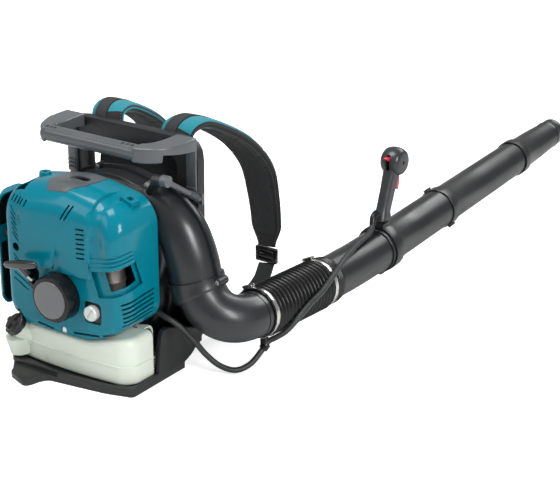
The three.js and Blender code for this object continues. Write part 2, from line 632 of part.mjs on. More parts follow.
function bayonetPipe(length, nearRadius, farRadius, collarRadius, collarLength, lugs) {
  const w = PIPE.wall;
  const profile = [
    [collarRadius, 0], [collarRadius, collarLength - 8], [nearRadius, collarLength],
    [lerp(nearRadius, farRadius, 0.5), length / 2], [farRadius, length],
    [farRadius - w, length], [nearRadius - w, collarLength], [collarRadius - w, 0],
  ];
  const lug = (side) => {
    const nub = new THREE.BoxGeometry(12, 16, 8).translate(0, 12, collarRadius + 1);
    return solidOf(nub.rotateY(side));
  };
  const bore = solidOf(turned([[0, -5], [collarRadius - w / 2, -5], [collarRadius - w / 2, 60], [0, 60]], 16));
  return join(solidOf(turned(profile, 16)), ...lugs.map((side) => cut(lug(side), bore)));
}
let along = GAP;
place(straight, 'middle_pipe', bayonetPipe(RUN.middle, PIPE.middleRadius, PIPE.middleRadius - 1, 51, 44, []), PIPE_BLACK, v3(0, along, 0));
along += RUN.middle + GAP;
place(straight, 'long_pipe', bayonetPipe(RUN.long, PIPE.longRadius + 1, PIPE.longRadius - 1, 48.5, 34, [2.4, 2.4 + Math.PI]), PIPE_BLACK, v3(0, along, 0));
along += RUN.long + GAP;

// The nozzle narrows in two steps and ends in a rolled lip.
const tip = PIPE.tipRadius;
const nozzleProfile = [
  [46, 0], [46, 26], [PIPE.longRadius - 3, 34], [PIPE.longRadius - 4, 92], [tip + 1.5, 196],
  [tip + 2.5, 200], [tip + 2.5, 206], [tip, 210], [tip, RUN.nozzle - 4], [tip + 1, RUN.nozzle],
  [tip - 1.5, RUN.nozzle], [tip - 2, 206], [PIPE.longRadius - 4 - PIPE.wall, 92],
  [PIPE.longRadius - 3 - PIPE.wall, 34], [46 - PIPE.wall, 0],
];
place(straight, 'nozzle', turned(nozzleProfile, 16), PIPE_BLACK, v3(0, along, 0));

// ---------------------------------------------------------------- control handle
// A clamp ring on the swivel pipe carries a leaning grip with a round head, a trigger on its far
// side and a small lever for the thumb.
const gripAt = 10;
const clampInner = clearOf(51, 28);
const handleClamp = join(
  solidOf(turned([[clampInner, 0], [clampInner + 3, 0], [clampInner + 3, 30], [clampInner, 30]], 28)),
  cut(block(-15, 15, 0, 30, clampInner - 4, clampInner + 11), rod(v3(0, -5, 0), v3(0, 40, 0), clampInner + 1, 28)),
  cut(block(-8, 8, 2, 28, -clampInner - 12, -clampInner + 2), rod(v3(0, -5, 0), v3(0, 40, 0), clampInner + 1, 28)),
);
place(straight, 'handle_clamp', handleClamp, DARK, v3(0, gripAt, 0));

const grip = new THREE.Group();
grip.position.set(0, gripAt + 15, clampInner + 11 + GAP);
grip.rotation.x = -GRIP.lean * DEG;
straight.add(grip);
const gripStem = solidOf(loft([0, 30, 70, 104, GRIP.length].map((z, i) => {
  const depth = GRIP.depth / 2 + [1, -1, 0, 1, 2][i];
  const width = GRIP.width / 2 + [2, -1, -1, 0, 2][i];
  const foot = i === 0 ? Math.tan(GRIP.lean * DEG) : 0;
  return roundedRing(-width, width, -depth, depth, 10, 3, 0).map((p) => v3(p.x, p.y, z + (p.y + depth) * foot));
})));
const headProfile = [[0, -24], [20, -24], [30, -16], [GRIP.head, 0], [30, 16], [20, 24], [0, 24]];
const headForm = new THREE.LatheGeometry(headProfile.map(([r, y]) => v2(r, y)), 16);
const gripHead = solidOf(headForm.rotateZ(Math.PI / 2).translate(0, 4, GRIP.length + 12));
const triggerSlot = block(-6, 6, 3, 34, 74, 120);
const leverSlot = block(-5, 5, -40, -6, GRIP.length - 12, GRIP.length + 22);
const gripBody = cut(
  join(gripStem, gripHead),
  triggerSlot,
  leverSlot,
  rod(v3(10, 4, GRIP.length + 12), v3(40, 4, GRIP.length + 12), 4, 10),
);
place(grip, 'control_grip', gripBody, GREY);

const triggerShape = new THREE.Shape();
triggerShape.moveTo(11, 114);
triggerShape.lineTo(22, 116);
triggerShape.quadraticCurveTo(30, 96, 28, 80);
triggerShape.quadraticCurveTo(22, 80, 19, 96);
triggerShape.lineTo(11, 104);
place(grip, 'throttle_trigger', pushed(triggerShape, 11.4, 'yz', -5.7), RED);

const leverShape = new THREE.Shape();
leverShape.moveTo(-12, GRIP.length + 6);
leverShape.lineTo(-12, GRIP.length + 20);
leverShape.lineTo(-32, GRIP.length + 17);
leverShape.quadraticCurveTo(-42, GRIP.length + 16, -42, GRIP.length + 11);
leverShape.lineTo(-32, GRIP.length + 9);
place(grip, 'speed_lever', pushed(leverShape, 9.4, 'yz', -4.7), RED);

// ---------------------------------------------------------------- fuel tank and cap
// A blow-moulded tank with a seam band, low under the engine, with its neck leaning forward left.
function tankRing(z, inset, skew = 0) {
  return roundedRing(TANK.left + inset, TANK.right - inset, TANK.front + inset, TANK.back - inset, TANK.corner - inset / 2, 3, 1)
    .map((p) => {
      const bow = p.y < -100 ? 10 * ((p.x - 10) / 160) ** 2 : 0;
      return v3(p.x, p.y + bow, z + skew * smooth(p.x, 50, 150));
    });
}
const tankSkin = (inset) => solidOf(loft([
  tankRing(TANK.bottom + inset, 8 + inset),
  tankRing(TANK.bottom + 7 + inset, 1 + inset),
  tankRing(TANK.seam - 4, inset),
  tankRing(TANK.top - 12 - inset, inset + 1, 13),
  tankRing(TANK.top - 3 - inset, 6 + inset, 18),
  tankRing(TANK.top - inset, 16 + inset, 18),
]));
const seamBand = solidOf(loft([tankRing(TANK.seam - 5, -2), tankRing(TANK.seam - 2, -2)]));
const lobe = (inset) => rod(v3(-125, -144, 25 + inset), v3(-127, -147, 62 - inset), 23 - inset, 14, 29 - inset);
const neckWay = v3(-0.3, -0.62, 0.72).normalize();
const neckFoot = v3(NECK.x, NECK.y, NECK.z);
const neckEnd = neckFoot.clone().addScaledVector(neckWay, NECK.length);
const neckRoot = neckFoot.clone().addScaledVector(neckWay, -26);
const springPocket = block(140, 190, -66, -20, 0, 120);
const tankBody = cut(
  join(tankSkin(0), seamBand, lobe(0), rod(neckRoot, neckEnd, NECK.radius + 5, 16, NECK.radius)),
  tankSkin(WALL),
  lobe(WALL),
  rod(neckFoot.clone().addScaledVector(neckWay, -16), neckEnd.clone().addScaledVector(neckWay, 9), NECK.bore, 16),
);
const tankOpen = cut(tankBody, springPocket);
place(machine, 'fuel_tank', tankOpen.add(block(137, 140.5, -69, -31, TANK.bottom + 3, TANK.top - 6)
  .intersect(tankSkin(0.5)))
  .add(block(137, 163, -69, -65.6, TANK.bottom + 3, TANK.top - 6).intersect(tankSkin(0.5))), TANK_WHITE);

const cap = new THREE.Group();
cap.position.copy(neckEnd.clone().addScaledVector(neckWay, GAP));
cap.quaternion.setFromUnitVectors(v3(0, 0, 1), neckWay);
machine.add(cap);
const capShape = new THREE.Shape();
const lobes = 6;
for (let i = 0; i <= lobes * 6; i++) {
  const a = (2 * Math.PI * i) / (lobes * 6);
  const r = CAP.radius - 1.6 * Math.max(0, Math.cos(lobes * a)) ** 3;
  if (i === 0) capShape.moveTo(r, 0);
  else if (i < lobes * 6) capShape.lineTo(r * Math.cos(a), r * Math.sin(a));
}
const capBody = join(
  solidOf(pushed(capShape, CAP.height - 8, 'xy', 0)),
  rod(v3(0, 0, CAP.height - 9), v3(0, 0, CAP.height - 4), CAP.radius - 3, 20, CAP.radius - 7),
  block(-17, 17, -5, 5, CAP.height - 8, CAP.height),
  block(-5, 5, -17, 17, CAP.height - 8, CAP.height),
  rod(v3(0, 0, -12), v3(0, 0, 2), NECK.bore - GAP, 16),
);
place(cap, 'fuel_cap', capBody, BLACK);

// ---------------------------------------------------------------- engine cover
// One deep moulding, open at the rear, with louvres, an exhaust window and pockets.
function coverRing(y, inset, crown, wall) {
  const c = COVER;
  const side = inset + wall;
  const low = c.bottom + inset * 0.12 + wall;
  const high = c.top - inset * 1.1 - wall;
  return roundedRing(c.left + side, c.right - side, low, high, c.corner - inset * 0.1 - wall, 3, 2)
    .map((p) => {
      const middle = 1 - Math.abs(p.x / 165) ** 1.3;
      const lift = p.y > 250 ? c.crown * crown * Math.max(0, middle) : 0;
      const rise = p.y < 160 ? 22 * smooth(p.x, 40, 156) : 0;
      return v3(p.x, y, p.y + lift + rise);
    });
}
const coverSkin = (w) => solidOf(loft([
  coverRing(COVER.front + w, 34, 0.25, w),
  coverRing(COVER.front + 5 + w, 20, 0.4, w),
  coverRing(COVER.front + 20 + w * 0.6, 7, 0.7, w),
  coverRing(COVER.front + 44, 1, 0.9, w),
  coverRing(COVER.back + (w > 0 ? 10 : 0), 0, 1, w),
]));
// A box across the front right corner that leans up to the right, from bottom to top of the pocket's face.
function cornerBox(length, bottom, top, along = 0) {
  const box = new THREE.BoxGeometry(length, 90, top - bottom).translate(along, 0, (top + bottom) / 2);
  return solidOf(moved(box.rotateY(-POCKET.lean * DEG).rotateZ(POCKET.turn * DEG), POCKET.x, POCKET.y, POCKET.z));
}
const pocketBox = cornerBox(POCKET.length, -POCKET.below, POCKET.above);
const pocketWall = cornerBox(POCKET.length + 2 * WALL, -POCKET.below - WALL, POCKET.above + WALL);
// The brow over the pocket stands proud in three steps.
const brow = join(
  coverSkin(-9).intersect(cornerBox(POCKET.length, POCKET.above, POCKET.above + 7)),
  coverSkin(-6).intersect(cornerBox(POCKET.length, POCKET.above + 6, POCKET.above + 14)),
  coverSkin(-3).intersect(cornerBox(POCKET.length, POCKET.above + 13, POCKET.above + 22)),
).subtract(coverSkin(1.5));
// A hollow runs down the front right corner to the brow.
const scoopTop = v3(106, -184, 378);
const scoopFoot = v3(122, -168, 300);
const scoop = rod(scoopTop, scoopFoot, 26, 14, 23);
const scoopWall = rod(scoopTop, scoopFoot, 26 + WALL, 14, 23 + WALL).intersect(coverSkin(0));
function slotBox(length, width, depth) {
  return new THREE.BoxGeometry(length, depth, width);
}
const sideLouvres = [0, 1, 2, 3, 4, 5].map((i) => {
  const bar = slotBox(94 - i * 2.4, 4.4, 60).rotateZ(Math.PI / 2).rotateX(5.5 * DEG);
  return solidOf(moved(bar, COVER.right - 8, -92, 196 - i * 9.8));
});
const frontLouvres = [...Array(7).keys()].map((i) => {
  const bar = slotBox(22, 4, 40).rotateY(-0.1);
  return solidOf(moved(bar, 62, COVER.front, 340 - i * 10));
});
const browSlots = [0, 1].map((i) => {
  const bar = slotBox(4, 36, 60).rotateY(0.5);
  return solidOf(moved(bar, 20 + i * 10, COVER.front + 10, 366));
});
const leftSlots = [...Array(5).keys()].map((i) => {
  const bar = slotBox(4, 16, 60).rotateY(0.35);
  return solidOf(moved(bar, -128 + i * 11, COVER.front + 6, 364));
});
// Slanted slots on the left: six short ones, two under the round hole and two long ones.
const slantedSlots = [
  ...[0, 1, 2, 3, 4, 5].map((i) => [22, -122 + i, 340 - i * 11, 0.85]),
  [20, -118, 240, 0.8], [20, -116, 229, 0.8],
  [48, -104, 196, 0.45], [44, -108, 184, 0.45],
].map(([length, x, z, turn]) => solidOf(moved(slotBox(length, 3.6, 60).rotateY(turn), x, COVER.front + 6, z)));
const lipSlots = [
  solidOf(moved(slotBox(42, 4.5, 40).rotateY(0.1), -43, COVER.front + 10, 108)),
  solidOf(moved(slotBox(66, 4.5, 40).rotateY(-0.1), 64, COVER.front + 10, 114)),
  solidOf(moved(slotBox(18, 4.5, 40).rotateY(-0.2), 112, COVER.front + 10, 121)),
];
// A screw lug on the left shoulder, a strap loop on the right one, an opening beside the lug.
const shoulderLug = rod(v3(-112, -58, 372), v3(-112, -58, 399), 15, 12, 12);
const loopForm = (x, y, z) => solidOf(moved(new THREE.BoxGeometry(x, y, z).rotateY(0.32), 120, -72, 385));
const shoulderOpening = solidOf(moved(new THREE.BoxGeometry(42, 26, 50).rotateY(-0.35), -112, -100, 384));
const plugTilt = 11;
const plugOutline = (inset) => {
  const s = new THREE.Shape();
  [[-60, -44], [-44, -104], [-24, -124], [14, -120], [32, -98], [34, -30]].forEach(([x, y], i) => {
    const px = -12 + (x + 12) * inset;
    const py = -76 + (y + 76) * inset;
    if (i === 0) s.moveTo(px, py);
    else s.lineTo(px, py);
  });
  return s;
};
const plugFrame = new THREE.Matrix4()
  .makeTranslation(0, -76, 398)
  .multiply(new THREE.Matrix4().makeRotationX(plugTilt * DEG))
  .multiply(new THREE.Matrix4().makeTranslation(0, 76, 0));
const plugPocketCut = solidOf(pushed(plugOutline(1), 60, 'xy', 0).applyMatrix4(plugFrame));
const starterHole = rod(v3(0, -220, SHAFT.z), v3(0, -100, SHAFT.z), STARTER.radius + GAP * 2, 32);
const oilBezel = (grow, from, to) => solidOf(pushed(
  roundedShape(OILCAP.x - 21 - grow, OILCAP.x + 21 + grow, OILCAP.z - 24 - grow, OILCAP.z + 22 + grow, 9), to - from, 'xz', from,
));
const pullPocket = solidOf(moved(new THREE.CylinderGeometry(22, 22, 60, 16), -78, COVER.front + 8, 216));
const coverShell = join(
  cut(coverSkin(0), coverSkin(WALL)),
  pocketWall.intersect(cut(coverSkin(0), coverSkin(POCKET.depth + WALL))),
  scoopWall,
  brow,
  cut(shoulderLug, coverSkin(WALL / 2)),
  cut(loopForm(30, 26, 16), coverSkin(WALL / 2)),
);
const engineCover = cut(
  coverShell,
  pocketBox.subtract(coverSkin(POCKET.depth)),
  scoop,
  cornerBox(WINDOW.length, -WINDOW.height / 2 - 4, WINDOW.height / 2 - 4, WINDOW.along),
  ...sideLouvres,
  ...frontLouvres,
  ...browSlots,
  ...leftSlots,
  ...slantedSlots,
  ...lipSlots,
  shoulderOpening,
  loopForm(11, 13, 60),
  rod(v3(-112, -58, 360), v3(-112, -58, 420), 5, 8),
  rod(v3(-118, -200, 262), v3(-118, -100, 262), 9, 12),
  plugPocketCut,
  starterHole,
  oilBezel(GAP * 2, -220, -120),
  pullPocket,
  rod(v3(ROPE_GUIDE.x, -200, ROPE_GUIDE.z), v3(ROPE_GUIDE.x, -110, ROPE_GUIDE.z), 8, 10),
  rod(neckFoot, neckEnd.clone().addScaledVector(neckWay, 70), CAP.radius + 4, 20),
  rod(v3(COVER_BOLT.x, -200, COVER_BOLT.z), v3(COVER_BOLT.x, -100, COVER_BOLT.z), 3.6, 8),
  rod(v3(COVER_BOLT.x, -200, COVER_BOLT.z), v3(COVER_BOLT.x, -146, COVER_BOLT.z), 7.2, 12),
  block(-126, 118, -138, 0, 90, 125),
  block(-400, 400, COVER.back - 0.01, 200, 0, 600),
);
place(machine, 'engine_cover', engineCover, TEAL);

const plugPlate = cut(
  solidOf(pushed(plugOutline(0.985), 8, 'xy', GAP)),
  solidOf(pushed(roundedShape(-22, 18, -64, -44, 9), 12, 'xy', 4)),
);
place(machine, 'plug_cover', geometryOf(plugPlate).applyMatrix4(plugFrame), DARK);

// ---------------------------------------------------------------- air cleaner cover
// A narrower moulding on the left, with its own slots, beside the main cover.
function cleanerRing(x, front, inset) {
  const c = CLEANER;
  const corner = Math.min(24, (c.back - front - inset * 1.2) / 2 - 1);
  return roundedRing(front + inset, c.back - inset * 0.2, c.bottom + inset, c.top - inset, corner, 3, 1)
    .map((p) => v3(x, p.x, p.y));
}
const cleanerSkin = (w) => solidOf(loft([
  cleanerRing(CLEANER.left + w, CLEANER.front + 46, 16 + w),
  cleanerRing(CLEANER.left + 8 + w, CLEANER.front + 34, 5 + w),
  cleanerRing(CLEANER.left + 22, CLEANER.front + 14, w),
  cleanerRing(CLEANER.right + (w ? 10 : 0), CLEANER.front, w),
]));
const cleanerSlots = [0, 1, 2, 3].map((i) => block(-230, -186, -140, -90, 190 + i * 14, 195 + i * 14));
const primerLip = join(
  block(CLEANER.right - 3, CLEANER.right, CLEANER.front + 1, -98, PRIMER.z - 18, PRIMER.z + 18),
  block(CLEANER.right - 3, PRIMER.x + 7.5, -106, -98, PRIMER.z - 18, PRIMER.z + 18),
);
place(machine, 'air_cleaner_cover', cut(
  join(cut(cleanerSkin(0), cleanerSkin(WALL)), primerLip),
  ...cleanerSlots,
  rod(v3(PRIMER.x, -120, PRIMER.z), v3(PRIMER.x, -80, PRIMER.z), clearOf(PRIMER.radius, 14), 14),
), TEAL);

place(machine, 'primer_bulb', join(
  rod(v3(PRIMER.x, -114, PRIMER.z), v3(PRIMER.x, -95, PRIMER.z), PRIMER.radius, 14),
  rod(v3(PRIMER.x, -119, PRIMER.z), v3(PRIMER.x, -113, PRIMER.z), 3.4, 14, PRIMER.radius),
), RED);

function roundedBox(x0, x1, y0, y1, z0, z1) {
  return solidOf(pushed(roundedShape(x0, x1, y0, y1, 6), z1 - z0, 'xy', z0));
}

// ---------------------------------------------------------------- engine inside the cover
const caseBody = cut(
  join(
    roundedBox(-62, 62, -118, -34, 122, 222),
    block(-40, 40, -112, -40, 221, 232),
    rod(v3(0, -35, SHAFT.z), v3(0, SCROLL.front - GAP, SHAFT.z), 40, 18),
  ),
  rod(v3(0, -140, SHAFT.z), v3(0, 0, SHAFT.z), SHAFT.radius + GAP, 16),
);
place(machine, 'crankcase', caseBody, ALUMINIUM);

const finCount = 5;
const fins = [...Array(finCount).keys()].map((i) => {
  const z = 240 + i * 13;
  return solidOf(pushed(roundedShape(-48, 48, -118, -44, 10), 3, 'xy', z, { curveSegments: 1 }));
});
place(machine, 'cylinder', join(
  rod(v3(0, -80, 232 + GAP), v3(0, -80, 306), 34, 12),
  ...fins,
), ALUMINIUM);
place(machine, 'rocker_cover', join(
  roundedBox(-30, 30, -108, -52, 306 + GAP, 324),
  roundedBox(-24, 24, -102, -58, 323, 330),
), ALUMINIUM);
place(machine, 'spark_plug', join(
  rod(v3(46, -80, 318), v3(58, -80, 330), 6, 6),
  rod(v3(40, -80, 312), v3(47, -80, 319), 9, 12),
  rod(v3(57, -80, 329), v3(68, -80, 340), 4, 10),
), WHITE);
place(machine, 'muffler', join(
  rod(v3(92, -100, 196), v3(92, -100, 282), 27, 16),
  rod(v3(92, -100, 222), v3(92, -100, 228), 29, 16),
  rod(v3(92, -100, 250), v3(92, -100, 256), 29, 16),
  block(48 + GAP, 80, -92, -64, 240, 262),
), STEEL);
place(machine, 'carburettor', join(
  roundedBox(-100, -62 - GAP, -106, -60, 186, 222),
  rod(v3(-130, -84, 204), v3(-99, -84, 204), 17, 12),
  rod(v3(-81, -84, 222), v3(-81, -84, 232), 8, 10),
), ALUMINIUM);

// ---------------------------------------------------------------- starter
// The recoil housing bolts to the crankcase and shows through the cover's round hole.
const starterZ = SHAFT.z;
const drumRoom = turned([[0, -150 + 4], [36, -150 + 4], [36, -128], [0, -128]], 18);
// The rope leaves the housing through a guide beside the disc.
const ropeFrom = v3(-61, -182.2, 220.6);
const ropeTo = v3(-55.5, -171, 205);
const ropeWay = ropeTo.clone().sub(ropeFrom).normalize();
const ropeGuide = cut(
  join(
    rod(ropeTo.clone().addScaledVector(ropeWay, -7), ropeTo.clone().addScaledVector(ropeWay, 9), ROPE_GUIDE.radius, 10),
    rod(v3(ROPE_GUIDE.x, -174, ROPE_GUIDE.z), v3(ROPE_GUIDE.x, -133, ROPE_GUIDE.z), ROPE_GUIDE.radius, 10),
  ),
  rod(ropeTo.clone().addScaledVector(ropeWay, -9), ropeTo.clone().addScaledVector(ropeWay, GAP), clearOf(2.5, 8), 8),
);
const starterBody = cut(
  solidOf(turned([
    [0, -186], [STARTER.face, -186], [STARTER.radius - 1, -182], [STARTER.radius, -176],
    [STARTER.radius, -140], [STARTER.radius + 9, -139], [STARTER.radius + 9, -129], [0, -129],
  ], 20)),
  solidOf(drumRoom),
);
place(machine, 'starter_housing', starterBody.translate(0, 0, starterZ)
  .subtract(rod(v3(0, -140, SHAFT.z), v3(0, -120, SHAFT.z), 27, 18)).add(ropeGuide), BLACK);
place(machine, 'starter_badge', turned([
  [0, 0], [STARTER.face - 4, 0], [STARTER.face - 5, -2.4], [0, -3.2],
], 24), GREY, v3(0, -186 - GAP, starterZ));
const drumProfile = [[0, 0], [34, 0], [34, 2.5], [STARTER.drumRadius, 3.5], [STARTER.drumRadius, 9], [34, 10], [34, 12.5], [0, 12.5]];
place(machine, 'starter_drum', turned(drumProfile, 18), GREY, v3(0, -145.4, starterZ));

const pull = new THREE.Group();
pull.position.set(PULL.x, PULL.y, PULL.z);
pull.rotation.y = -12 * DEG;
machine.add(pull);
const pullBar = solidOf(loft([-46, -42, -24, 0, 24, 42, 46].map((x, i) => {
  const h = [3, 6, 8, 9.5, 8, 6, 3][i];
  return roundedRing(-h * 0.8, h * 0.8, -h, h, h * 0.6, 2, 0).map((p) => v3(x, p.x, p.y));
})));
const pullStem = rod(v3(2, 0, -4), v3(9, 5, -24), 9, 12, 7);
place(pull, 'starter_handle', pullBar.add(pullStem), BLACK);
place(machine, 'starter_rope', rod(ropeFrom, ropeTo, 2.5, 8), WHITE);

// ---------------------------------------------------------------- oil cap, drain bolt, choke
const oilBody = cut(
  join(
    rod(v3(OILCAP.x, -162, OILCAP.z), v3(OILCAP.x, -148, OILCAP.z), OILCAP.radius, 24),
    rod(v3(OILCAP.x, -149, OILCAP.z), v3(OILCAP.x, -139, OILCAP.z), 10, 16),
  ),
  solidOf(moved(new THREE.BoxGeometry(22, 5, 5).rotateY(-0.9), OILCAP.x, -162, OILCAP.z)),
);
place(machine, 'oil_cap', oilBody, SILVER);
place(machine, 'oil_filler', cut(
  join(
    oilBezel(0, -148.5, -144),
    rod(v3(OILCAP.x, -149, OILCAP.z), v3(OILCAP.x, -118, OILCAP.z), OILCAP.radius + 4, 18),
    block(62 + GAP, 88, -118.5, -100, 150, 180),
  ),
  rod(v3(OILCAP.x, -160, OILCAP.z), v3(OILCAP.x, -147, OILCAP.z), clearOf(OILCAP.radius, 18), 18),
  rod(v3(OILCAP.x, -160, OILCAP.z), v3(OILCAP.x, -138, OILCAP.z), 10 + GAP, 16),
), BLACK);
place(machine, 'cover_bolt', join(
  rod(v3(COVER_BOLT.x, -154, COVER_BOLT.z), v3(COVER_BOLT.x, -146, COVER_BOLT.z), 6.5, 12),
  rod(v3(COVER_BOLT.x, -147, COVER_BOLT.z), v3(COVER_BOLT.x, -119, COVER_BOLT.z), 3, 8),
), STEEL);

// The choke lever turns on the rear side of the air cleaner.
const CHOKE = { x: -196, y: -28, z: 184, hub: 9, arm: 30 };
place(machine, 'choke_lever', join(
  rod(v3(0, 0, 0), v3(0, 7, 0), CHOKE.hub, 14),
  block(-4, 4, 1, 5, -CHOKE.arm, 0),
  rod(v3(0, 0.5, -CHOKE.arm), v3(0, 8, -CHOKE.arm), 6, 12),
), BLACK, v3(CHOKE.x, CHOKE.y, CHOKE.z));

// ---------------------------------------------------------------- springs and rubber mounts
// Coil springs between the base and the engine unit keep the shake off the frame.
function coil(radius, wire, height, curls) {
  const steps = 8 * curls;
  const rings = [];
  const lift = height - 2 * wire;
  for (let i = -1; i <= steps + 1; i++) {
    const k = Math.min(Math.max(i, 0), steps);
    const a = (k / 8) * 2 * Math.PI;
    const centre = v3(radius * Math.cos(a), radius * Math.sin(a), (lift * k) / steps);
    const way = v3(-Math.sin(a), Math.cos(a), lift / steps / (radius * Math.PI / 4)).normalize();
    const end = i < 0 || i > steps;
    const radial = v3(Math.cos(a), Math.sin(a), 0);
    const upward = way.clone().cross(radial).negate();
    if (end) centre.addScaledVector(way, i < 0 ? -2 * wire : 2 * wire);
    rings.push([0, 1, 2, 3, 4].map((j) => {
      const b = (2 * Math.PI * j) / 5;
      return centre.clone().addScaledVector(radial, wire * Math.cos(b)).addScaledVector(upward, wire * Math.sin(b));
    }));
  }
  const gap = lift / curls - 2 * wire;
  console.log(`spring gap between curls ${gap.toFixed(2)} mm`);
  return loft(rings);
}
const SPRING = { radius: 8, wire: 1.2, height: 42, curls: 6 };
const springFoot = BASE.thick + SPRING.wire + GAP;
[['right', 151, -46], ['left', -150, -16]].forEach(([side, x, y]) => {
  place(machine, `damper_spring_${side}`, coil(SPRING.radius, SPRING.wire, SPRING.height, SPRING.curls), STEEL,
    v3(x, y, springFoot));
});
const cradleFoot = springFoot + SPRING.height - SPRING.wire + GAP;
place(machine, 'engine_cradle', join(
  block(-160, 160, -30, -22, cradleFoot, cradleFoot + 8),
  block(141, 160.5, -57, -29, cradleFoot, cradleFoot + 5),
  block(-160, -140, -27, -5, cradleFoot, cradleFoot + 5),
  block(-30, 30, -28, -22, cradleFoot + 7, SHAFT.z - 40 - GAP),
), BLACK);
[['left', -100], ['right', 44]].forEach(([side, x]) => {
  place(machine, `rubber_mount_${side}`,
    rod(v3(x, SCROLL.back + GAP, 323), v3(x, BACK.front - GAP, 323), 12, 16), RUBBER);
});

// ---------------------------------------------------------------- back pad and shoulder straps
const padRings = [0, 3, 9, 17, 23, PAD.thick].map((y, i) => {
  const inset = [3, 0, 0, 2, 8, 22][i];
  return roundedRing(-PAD.halfWidth + inset, PAD.halfWidth - inset, PAD.bottom + inset, PAD.top - inset, 36, 4, 3)
    .map((p) => v3(p.x * (1 - 0.12 * ((p.y - 275) / 155) ** 2), BACK.front + BACK.thick + GAP + y, p.y));
});
place(machine, 'back_pad', loft(padRings), FABRIC);

// A strap follows a curve in the YZ plane with a flat section: width along X, thickness square to it.
function flatBand(points, width, thick, steps, round = 0.45) {
  const curve = new THREE.CatmullRomCurve3(points.map(([x, y, z]) => v3(x, y, z)), false, 'centripetal');
  const rings = [];
  for (let i = 0; i <= steps; i++) {
    const t = i / steps;
    const centre = curve.getPointAt(t);
    const along = curve.getTangentAt(t);
    const across = v3(1, 0, 0).addScaledVector(along, -along.x).normalize();
    const out = along.clone().cross(across).normalize();
    const w = width(t) / 2;
    const h = thick(t) / 2;
    rings.push(roundedRing(-w, w, -h, h, h * round * 2, 1, 1)
      .map((p) => centre.clone().addScaledVector(across, p.x).addScaledVector(out, p.y)));
  }
  return loft(rings);
}
const strapRoute = [
  [88, 118, 455], [94, 128, 480], [100, 160, 487], [108, 232, 455], [119, 302, 405],
  [129, 350, 342], [134, 366, 275], [138, 371, 210], [142, 368, 152],
];
const webRoute = [[143, 366, 112], [150, 330, 84], [146, 230, 52], [132, 140, 42], [127, 117, 40]];
[['right', 1], ['left', -1]].forEach(([side, sign]) => {
  const mirrored = (route) => route.map(([x, y, z]) => [x * sign, y, z]);
  const taper = (t) => 1 - 0.4 * smooth(t, 0.9, 1);
  const padWidth = (t) => STRAP.width * (0.8 + 0.2 * Math.sin(Math.PI * Math.min(1, 0.1 + t * 0.9))) * taper(t);
  const padThick = (t) => STRAP.thick * (0.45 + 0.55 * Math.sin(Math.PI * Math.min(1, 0.1 + t * 0.9))) * taper(t);
  place(machine, `shoulder_strap_${side}`, flatBand(mirrored(strapRoute), padWidth, padThick, 13), FABRIC);
  place(machine, `strap_webbing_${side}`,
    flatBand(mirrored(webRoute), () => STRAP.webWidth, () => STRAP.webThick, 8), FABRIC);
  const buckle = cut(
    join(block(-27, 27, -5, 5, -17, 17), block(-22, 22, -7, 7, -10, 10)),
    block(-20, 20, -12, -2, 4, 11),
    block(-20, 20, -12, -2, -11, -4),
  );
  place(machine, `strap_buckle_${side}`, buckle, BLACK, v3(142 * sign, 367, 132));
});

// ---------------------------------------------------------------- control cable
// From the engine through the frame, in a low loop to a clip under the hose clamp, along the hose
// and up over the pipe to the handle.
machine.updateMatrixWorld(true);
const clipAt = v3(312, 116, 50);
const clipWay = v3(0.25, 0.68, 0.69).normalize();
const clipPoint = (d) => clipAt.clone().addScaledVector(clipWay, d).toArray();
const clipBody = cut(
  join(
    rod(clipAt.clone().addScaledVector(clipWay, -7), clipAt.clone().addScaledVector(clipWay, 7), 9.5, 12),
    block(304, 318, 111, 121, 54, 72),
  ),
  rod(clipAt.clone().addScaledVector(clipWay, -20), clipAt.clone().addScaledVector(clipWay, 20),
    clearOf(CABLE.radius, 12), 12),
  rod(outletPoint, outletPoint.clone().addScaledVector(outletWay, 40), clearOf(CLAMP.radius, 24), 24),
);
place(machine, 'cable_clip', clipBody, BLACK);
const gripEntry = grip.localToWorld(v3(0, -GRIP.depth / 2 - 6, 18));
const cables = {
  cable_loop: [
    [122, -24.2, 142], [150, -24.2, 134], [176, -23, 127], [196, -10, 108], [212, 8, 78], [228, 24, 46],
    [254, 38, 21], [282, 54, 12], [300, 80, 20], clipPoint(-9), clipPoint(-GAP / 2),
  ],
  cable_hose_rear: [
    clipPoint(GAP / 2), clipPoint(7), clipPoint(13), [330, 136, 69], [343, 149, 80], [356, 180, 105],
    [357.4, 219, 121], [357.5, 227, 123.2],
  ],
  cable_hose_front: [[357.5, 227.6, 123.4], [357.4, 236, 125.6], [356, 262, 131], [349, 310, 143], [342, 346, 151]],
  cable_pipe: [
    [341.9, 346.5, 151.1], [333, 384, 157], [315, 470, 163], [300, 550, 166],
    gripEntry.clone().add(v3(0, -16, -5)).toArray(), gripEntry.toArray(),
  ],
};
Object.entries(cables).forEach(([name, route]) => {
  const cable = lead(route, CABLE.radius, 8, Math.max(8, Math.round(route.length * 1.6)));
  place(machine, name, cable.geometry, RUBBER);
  console.log(`${name} length ${cable.curve.getLength().toFixed(0)} mm`);
});

totals.sort((a, b) => b[1] - a[1]);
console.log(totals.map(([name, count]) => `${name} ${count}`).join(', '));
console.log('triangles', totals.reduce((sum, [, count]) => sum + count, 0), 'nodes', totals.length);

export default machine;
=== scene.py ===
import json
import bmesh
import bpy
from math import copysign, cos, exp, pi, radians, sin, sqrt, tan
from mathutils import Matrix, Vector


